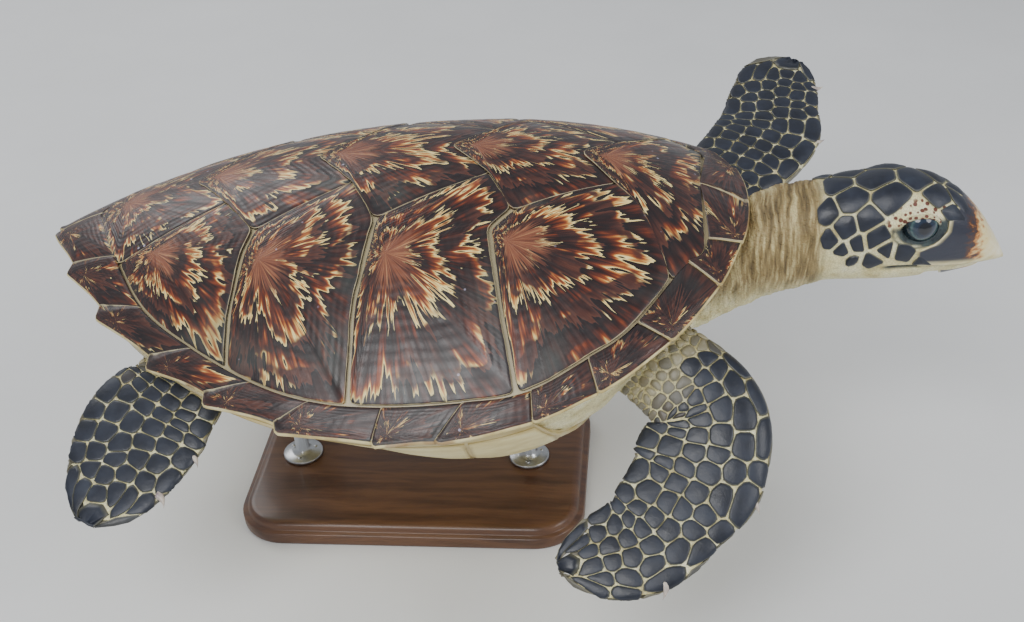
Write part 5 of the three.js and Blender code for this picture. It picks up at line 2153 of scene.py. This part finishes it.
@dataclass(frozen=True)
class BellyHorn:
    """The belly plates' horn: cream yellow with a little brown."""

    def make(self) -> bpy.types.Material:
        """The belly plates' material."""
        shader = Shader("belly_horn", 0.45, Coat_Weight=0.15, Coat_Roughness=0.3)
        place = shader.place()
        grain = shader.noise(shader.scaled(place, 12.0, 60.0, 60.0), 1.0, 4.0)
        colour = shader.ramp(grain,
                             ((0.3, (196, 176, 112)), (0.52, (222, 208, 150)), (0.75, (234, 226, 186))))
        blotch = shader.span(shader.noise(place, 15.0, 3.0), 0.60, 0.68)
        stained = shader.span(shader.value("stain"), 0.4, 0.8)
        colour = shader.mix(shader.sum("MULTIPLY", blotch, stained), colour, srgb(104, 58, 50))
        edge = shader.span(shader.value("crown"), 0.10, 0.0, 0.0, 0.45)
        colour = shader.mix(edge, colour, srgb(150, 122, 70))
        shader.colour(colour)
        shader.bump(grain, 0.0006, 0.4)
        shader.bump(shader.noise(place, 320.0, 3.0), 0.0003, 0.4)
        return shader.material


# ---------------------------------------------------------------- grain scales of the neck


def granules_tree() -> bpy.types.NodeTree:
    """Strews small domed scales over a skin where its value granule is high."""
    build = TreeBuilder("strew_granules", {
        "Spacing": ("NodeSocketFloat", 0.004), "Size": ("NodeSocketFloat", 0.0018),
        "Seed": ("NodeSocketInt", 3), "Finish": ("NodeSocketMaterial", None),
    })
    share = build.node("GeometryNodeInputNamedAttribute", {"Name": "granule"}, data_type="FLOAT")
    points = build.node("GeometryNodeDistributePointsOnFaces", {
        "Mesh": build.inputs["Geometry"], "Distance Min": build.inputs["Spacing"], "Density Max": 90000.0,
        "Density Factor": share.outputs["Attribute"], "Seed": build.inputs["Seed"],
    }, distribute_method="POISSON")
    dome = build.node("GeometryNodeMeshUVSphere", {"Segments": 7, "Rings": 4, "Radius": 1.0})
    flat = build.node("GeometryNodeTransform", {"Geometry": dome.outputs["Mesh"], "Scale": (1.25, 0.9, 0.34)})
    vary = build.node("FunctionNodeRandomValue", {"Seed": build.inputs["Seed"]}, data_type="FLOAT")
    vary.inputs[2].default_value = 0.65
    vary.inputs[3].default_value = 1.15
    size = build.node("ShaderNodeMath", {0: vary.outputs[1], 1: build.inputs["Size"]}, operation="MULTIPLY")
    placed = build.node("GeometryNodeInstanceOnPoints", {
        "Points": points.outputs["Points"], "Instance": flat.outputs[0],
        "Rotation": points.outputs["Rotation"], "Scale": size.outputs[0],
    })
    shaded = build.node("GeometryNodeSetShadeSmooth", {"Geometry": placed.outputs[0]})
    return build.finish(shaded.outputs[0])


@dataclass(frozen=True)
class Granules:
    """Small scales on the neck."""

    spacing: float = 0.0034
    size: float = 0.0013
    spots: int = 23  # vertices of one domed scale

    def build(self, skin: bpy.types.Object, tree: bpy.types.NodeTree,
              finish: bpy.types.Material) -> bpy.types.Object:
        """Strews the scales over a copy of the skin and keeps them alone."""
        thing = make_object("neck_granules", skin.data.copy())
        thing.data.materials.clear()
        run_tree(thing, tree, {"Spacing": self.spacing, "Size": self.size, "Finish": finish})
        mesh = thing.data
        points = coordinates(mesh)
        count = len(points) // self.spots
        centres = points.reshape(count, self.spots, 3).mean(1)
        for name, value in (("khaki", 0.9), ("lid", 0.0), ("dusk", 0.0)):
            if name not in mesh.attributes:
                set_value(mesh, name, np.full(len(points), value))
        turn = np.arctan2(centres[:, 1], centres[:, 2] - STAND_HEIGHT - 0.03) / (2 * math.pi) + 0.5
        root = np.column_stack([(centres[:, 0] - 0.20) / 0.20, turn])
        local = (points - np.repeat(centres, self.spots, axis=0)) / self.size * 0.0012
        uv = np.clip(np.repeat(root, self.spots, axis=0) + local[:, :2], 0, 1)
        layer = mesh.uv_layers.get("OFBake") or mesh.uv_layers.new(name="OFBake")
        corner = np.zeros(len(mesh.loops), np.int32)
        mesh.loops.foreach_get("vertex_index", corner)
        layer.uv.foreach_set("vector", uv[corner].astype(np.float32).ravel())
        LOG.info("neck has %d granules", count)
        return thing


# ---------------------------------------------------------------- display stand


@dataclass
class Stand:
    """A walnut base with a moulded edge, and two steel rods with flanges, screws and belly pads."""

    length: float = 0.320
    width: float = 0.210
    height: float = 0.020
    corner: float = 0.045
    rod_radius: float = 0.0065
    flange_radius: float = 0.019
    flange_height: float = 0.006
    pad_radius: float = 0.021
    pad_height: float = 0.010
    rods: tuple[tuple[str, float], ...] = (("front", 0.105), ("rear", -0.115))
    profile: tuple[Point, ...] = (
        (0.0030, 0.0), (0.0006, 0.0008), (0.0, 0.0022), (0.0, 0.0110), (0.0010, 0.0122), (0.0042, 0.0128),
        (0.0050, 0.0136), (0.0054, 0.0160), (0.0070, 0.0184), (0.0100, 0.0197), (0.0130, 0.0200),
    )

    def ring(self, inset: float, z: float) -> Array:
        """The base's rounded outline, moved inwards."""
        turn = np.linspace(0, math.pi / 2, 14)
        r = max(self.corner - inset, 0.001)
        points = []
        for quarter in range(4):
            sx, sy = ((1, 1), (-1, 1), (-1, -1), (1, -1))[quarter]
            centre = np.array([sx * (self.length / 2 - self.corner), sy * (self.width / 2 - self.corner)])
            a = turn + quarter * math.pi / 2
            points.append(centre + r * np.column_stack([np.cos(a), np.sin(a)]))
        flat = np.concatenate(points)
        return np.column_stack([flat, np.full(len(flat), z)])

    def base(self) -> bpy.types.Mesh:
        """The base's moulded slab."""
        rings = [self.ring(0.03, 0.0)] + [self.ring(inset, z) for inset, z in self.profile]
        rings.append(self.ring(0.04, self.height))
        work = Patchwork()
        points, faces = loft(np.array(rings))
        work.add(points, faces)
        return turned_out(work.mesh("stand_base_walnut"))

    def belly(self, x: Array, y: Array) -> Array:
        """The belly's height over places on the floor."""
        return Plastron().surface(x, y)[..., 2] + STAND_HEIGHT - 0.0013

    def turned(self, name: str, x: float, profile: Sequence[tuple[float, float | None]]) -> bpy.types.Mesh:
        """A turned piece; a height of None reaches up to the belly."""
        turn = np.linspace(0, 2 * math.pi, 48, endpoint=False)
        rings = []
        for radius, z in profile:
            px, py = x + radius * np.cos(turn), radius * np.sin(turn)
            height = self.belly(px, py) if z is None else np.full(48, z)
            rings.append(np.column_stack([px, py, height]))
        work = Patchwork()
        points, faces = loft(np.array(rings))
        if profile[-1][1] is None:
            points[-1, 2] = float(self.belly(np.array([x]), np.array([0.0]))[0])
        work.add(points, faces)
        return turned_out(work.mesh(name))

    def screws(
        self, x: float, name: str, tree: bpy.types.NodeTree, finish: bpy.types.Material
    ) -> bpy.types.Object:
        """Three round-headed screws on a flange."""
        mesh = bpy.data.meshes.new(name)
        turn = np.arange(3) * 2 * math.pi / 3 + 0.5
        at = 0.0128
        z = self.height + self.flange_height * 0.72
        mesh.from_pydata([(x + at * math.cos(a), at * math.sin(a), z) for a in turn], [], [])
        thing = make_object(name, mesh)
        run_tree(thing, tree, {"Head": 0.0021, "Finish": finish})
        return thing

    def build(self, wood: bpy.types.Material, steel: bpy.types.Material, felt: bpy.types.Material,
              screw_tree: bpy.types.NodeTree) -> list[bpy.types.Object]:
        """Makes the stand's pieces."""
        base = self.base()
        base.materials.append(wood)
        pieces = [make_object("stand_base_walnut", base)]
        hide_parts("stand_base")
        foot = self.height + 0.0002
        for name, x in self.rods:
            pad_low = float(self.belly(np.array([x]), np.array([0.0]))[0]) - self.pad_height
            rod = self.turned(f"stand_rod_{name}_steel", x, (
                (0.004, foot), (self.flange_radius - 0.0006, foot), (self.flange_radius, foot + 0.0006),
                (self.flange_radius, foot + 0.0030), (self.flange_radius - 0.0008, foot + 0.0038),
                (0.0115, foot + 0.0046), (0.0092, foot + 0.0056), (0.0080, foot + 0.0074),
                (self.rod_radius, foot + 0.0086), (self.rod_radius, pad_low - 0.0090),
                (0.0080, pad_low - 0.0066), (0.0130, pad_low - 0.0036),
                (self.pad_radius - 0.0012, pad_low - 0.0022),
                (self.pad_radius - 0.0008, pad_low - 0.0006), (self.pad_radius - 0.0012, pad_low),
                (0.004, pad_low),
            ))
            rod.materials.append(steel)
            pieces.append(make_object(rod.name, rod))
            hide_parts(f"stand_rod_{name}")
            pad = self.turned(f"stand_pad_{name}_felt", x, (
                (0.004, pad_low + 0.0001), (self.pad_radius - 0.0022, pad_low + 0.0001),
                (self.pad_radius - 0.0008, pad_low + 0.0012), (self.pad_radius - 0.0004, pad_low + 0.0030),
                (self.pad_radius - 0.0010, None), (0.014, None), (0.006, None),
            ))
            pad.materials.append(felt)
            pieces.append(make_object(pad.name, pad))
            pieces.append(self.screws(x, f"stand_screws_{name}", screw_tree, steel))
        return pieces


def screws_tree() -> bpy.types.NodeTree:
    """Sets a round screw head on each point."""
    build = TreeBuilder("screw_heads", {"Head": ("NodeSocketFloat", 0.002),
                                        "Finish": ("NodeSocketMaterial", None)})
    head = build.node("GeometryNodeMeshUVSphere",
                      {"Segments": 20, "Rings": 10, "Radius": build.inputs["Head"]})
    flat = build.node("GeometryNodeTransform", {"Geometry": head.outputs["Mesh"], "Scale": (1, 1, 0.55)})
    placed = build.node("GeometryNodeInstanceOnPoints", {"Points": build.inputs["Geometry"],
                                                         "Instance": flat.outputs[0]})
    shaded = build.node("GeometryNodeSetShadeSmooth", {"Geometry": placed.outputs[0]})
    return build.finish(shaded.outputs[0])


# ---------------------------------------------------------------- studio


@dataclass(frozen=True)
class Studio:
    """The pale floor, the soft lights and the camera."""

    yaw: float = math.radians(7.55)
    rise: float = math.radians(33.95)
    roll: float = math.radians(-4.0)
    distance: float = 1.203
    target: tuple[float, float, float] = (0.098, 0.0, 0.188)
    lens: float = 47.81
    lights: tuple[tuple[float, float, float, float, float], ...] = (
        (-0.5, -1.7, 2.1, 1.5, 40.0), (1.9, -0.9, 1.5, 1.2, 19.0), (-1.5, 1.4, 1.8, 1.4, 16.0),
    )

    def camera(self) -> None:
        """Sets the camera at the animal's right, looking down on it."""
        back = Vector((math.sin(self.yaw) * math.cos(self.rise), -math.cos(self.yaw) * math.cos(self.rise),
                       math.sin(self.rise)))
        right = (-back).cross(Vector((0, 0, 1))).normalized()
        up = right.cross(-back)
        level, upright = math.cos(self.roll), math.sin(self.roll)
        across, over = right * level + up * upright, up * level - right * upright
        turn = Matrix((across, over, back)).transposed()
        data = bpy.data.cameras.new("camera")
        data.lens = self.lens
        data.sensor_width = 36.0
        data.clip_start = 0.05
        camera = bpy.data.objects.new("camera", data)
        camera.matrix_world = Matrix.Translation(Vector(self.target) + back * self.distance) @ turn.to_4x4()
        bpy.context.scene.collection.objects.link(camera)
        bpy.context.scene.camera = camera

    def light(self) -> None:
        """Sets three soft lights and a pale surround."""
        aim = Vector((0.05, 0, 0.22))
        for number, (x, y, z, size, power) in enumerate(self.lights):
            data = bpy.data.lights.new(f"soft_light_{number}", "AREA")
            data.shape = "DISK"
            data.size = size
            data.energy = power
            lamp = bpy.data.objects.new(data.name, data)
            lamp.location = (x, y, z)
            lamp.rotation_euler = (aim - Vector((x, y, z))).to_track_quat("-Z", "Y").to_euler()
            bpy.context.scene.collection.objects.link(lamp)
        world = bpy.data.worlds.new("surround")
        world.use_nodes = True
        world.node_tree.nodes["Background"].inputs["Color"].default_value = (0.92, 0.95, 1.0, 1)
        world.node_tree.nodes["Background"].inputs["Strength"].default_value = 0.52
        bpy.context.scene.world = world

    def floor(self, finish: bpy.types.Material) -> None:
        """Lays the floor."""
        mesh = bpy.data.meshes.new("floor")
        reach = 6.0
        mesh.from_pydata([(-reach, -reach, 0), (reach, -reach, 0), (reach, reach, 0), (-reach, reach, 0)], [],
                         [(0, 1, 2, 3)])
        mesh.materials.append(finish)
        make_object("floor", mesh, smooth_faces=False)


WALNUT = Grained("walnut",
                 ((0.25, (52, 32, 22)), (0.45, (84, 54, 36)), (0.6, (104, 70, 46)), (0.8, (66, 42, 28))),
                 (6.0, 70.0, 70.0), (0.34, 0.48), 0.0003, coat=0.3)
STEEL = Grained("brushed_steel", ((0.3, (172, 174, 176)), (0.7, (192, 194, 196))), (900.0, 900.0, 12.0),
                (0.28, 0.34), 0.00003, metallic=1.0, fine=2000.0)
FELT = Grained("black_felt", ((0.3, (22, 22, 24)), (0.7, (48, 48, 50))), (500.0, 500.0, 500.0), (0.85, 0.95),
               0.0006, fine=1500.0)
CLAW_HORN = Grained("claw_horn", ((0.3, (128, 112, 118)), (0.55, (196, 184, 170)), (0.75, (226, 218, 198))),
                    (90.0, 90.0, 90.0), (0.32, 0.42), 0.0002, coat=0.2)
FLOOR = Grained("pale_floor", ((0.3, (226, 227, 227)), (0.7, (233, 234, 234))),
                (3.0, 3.0, 3.0), (0.7, 0.8), 0.0002)


def main() -> None:
    """Builds the turtle and its stand, piece by piece."""
    logging.basicConfig(level=logging.INFO, format="%(message)s")
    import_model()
    studio = Studio()
    studio.camera()
    studio.light()
    studio.floor(FLOOR.make())
    raise_plates = raise_plates_tree()
    pieces = Carapace().build(Tortoiseshell().make())
    pieces += Plastron().build(raise_plates, BellyHorn().make())
    hide = SoftSkin().make()
    skin = Skin().build(hide)
    pieces.append(skin)
    slate = DarkScales("slate_scales", (31, 37, 51), (16, 20, 30)).make()
    layout = FlipperScales()
    for number, form in enumerate(FLIPPERS):
        chart = layout.chart(form)
        scales = Scales(f"scales_{form.name}", chart, layout.sites(chart, 40 + number))
        pieces.append(scales.build(raise_plates, slate, 0.0010, 0.0006))
    shields = HeadShields()
    head_scales = Scales("scales_head", shields.chart(), shields.sites(), corners=36, cut=0.11,
                         rings=(1.0, 0.90, 0.5))
    pieces.append(head_scales.build(raise_plates, slate, 0.0011, 0.0012))
    pieces.append(Granules().build(skin, granules_tree(), hide))
    pieces += Bill().build(BillHorn().make())
    pieces += Eyes().build(EyeGlass().make())
    pieces += Claws().build(CLAW_HORN.make())
    pieces += Stand().build(WALNUT.make(), STEEL.make(), FELT.make(), screws_tree())
    for piece in pieces:
        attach(piece, BODY)
        LOG.info("piece %s: %d faces", piece.name, len(piece.data.polygons))


if __name__ == "__main__":
    main()
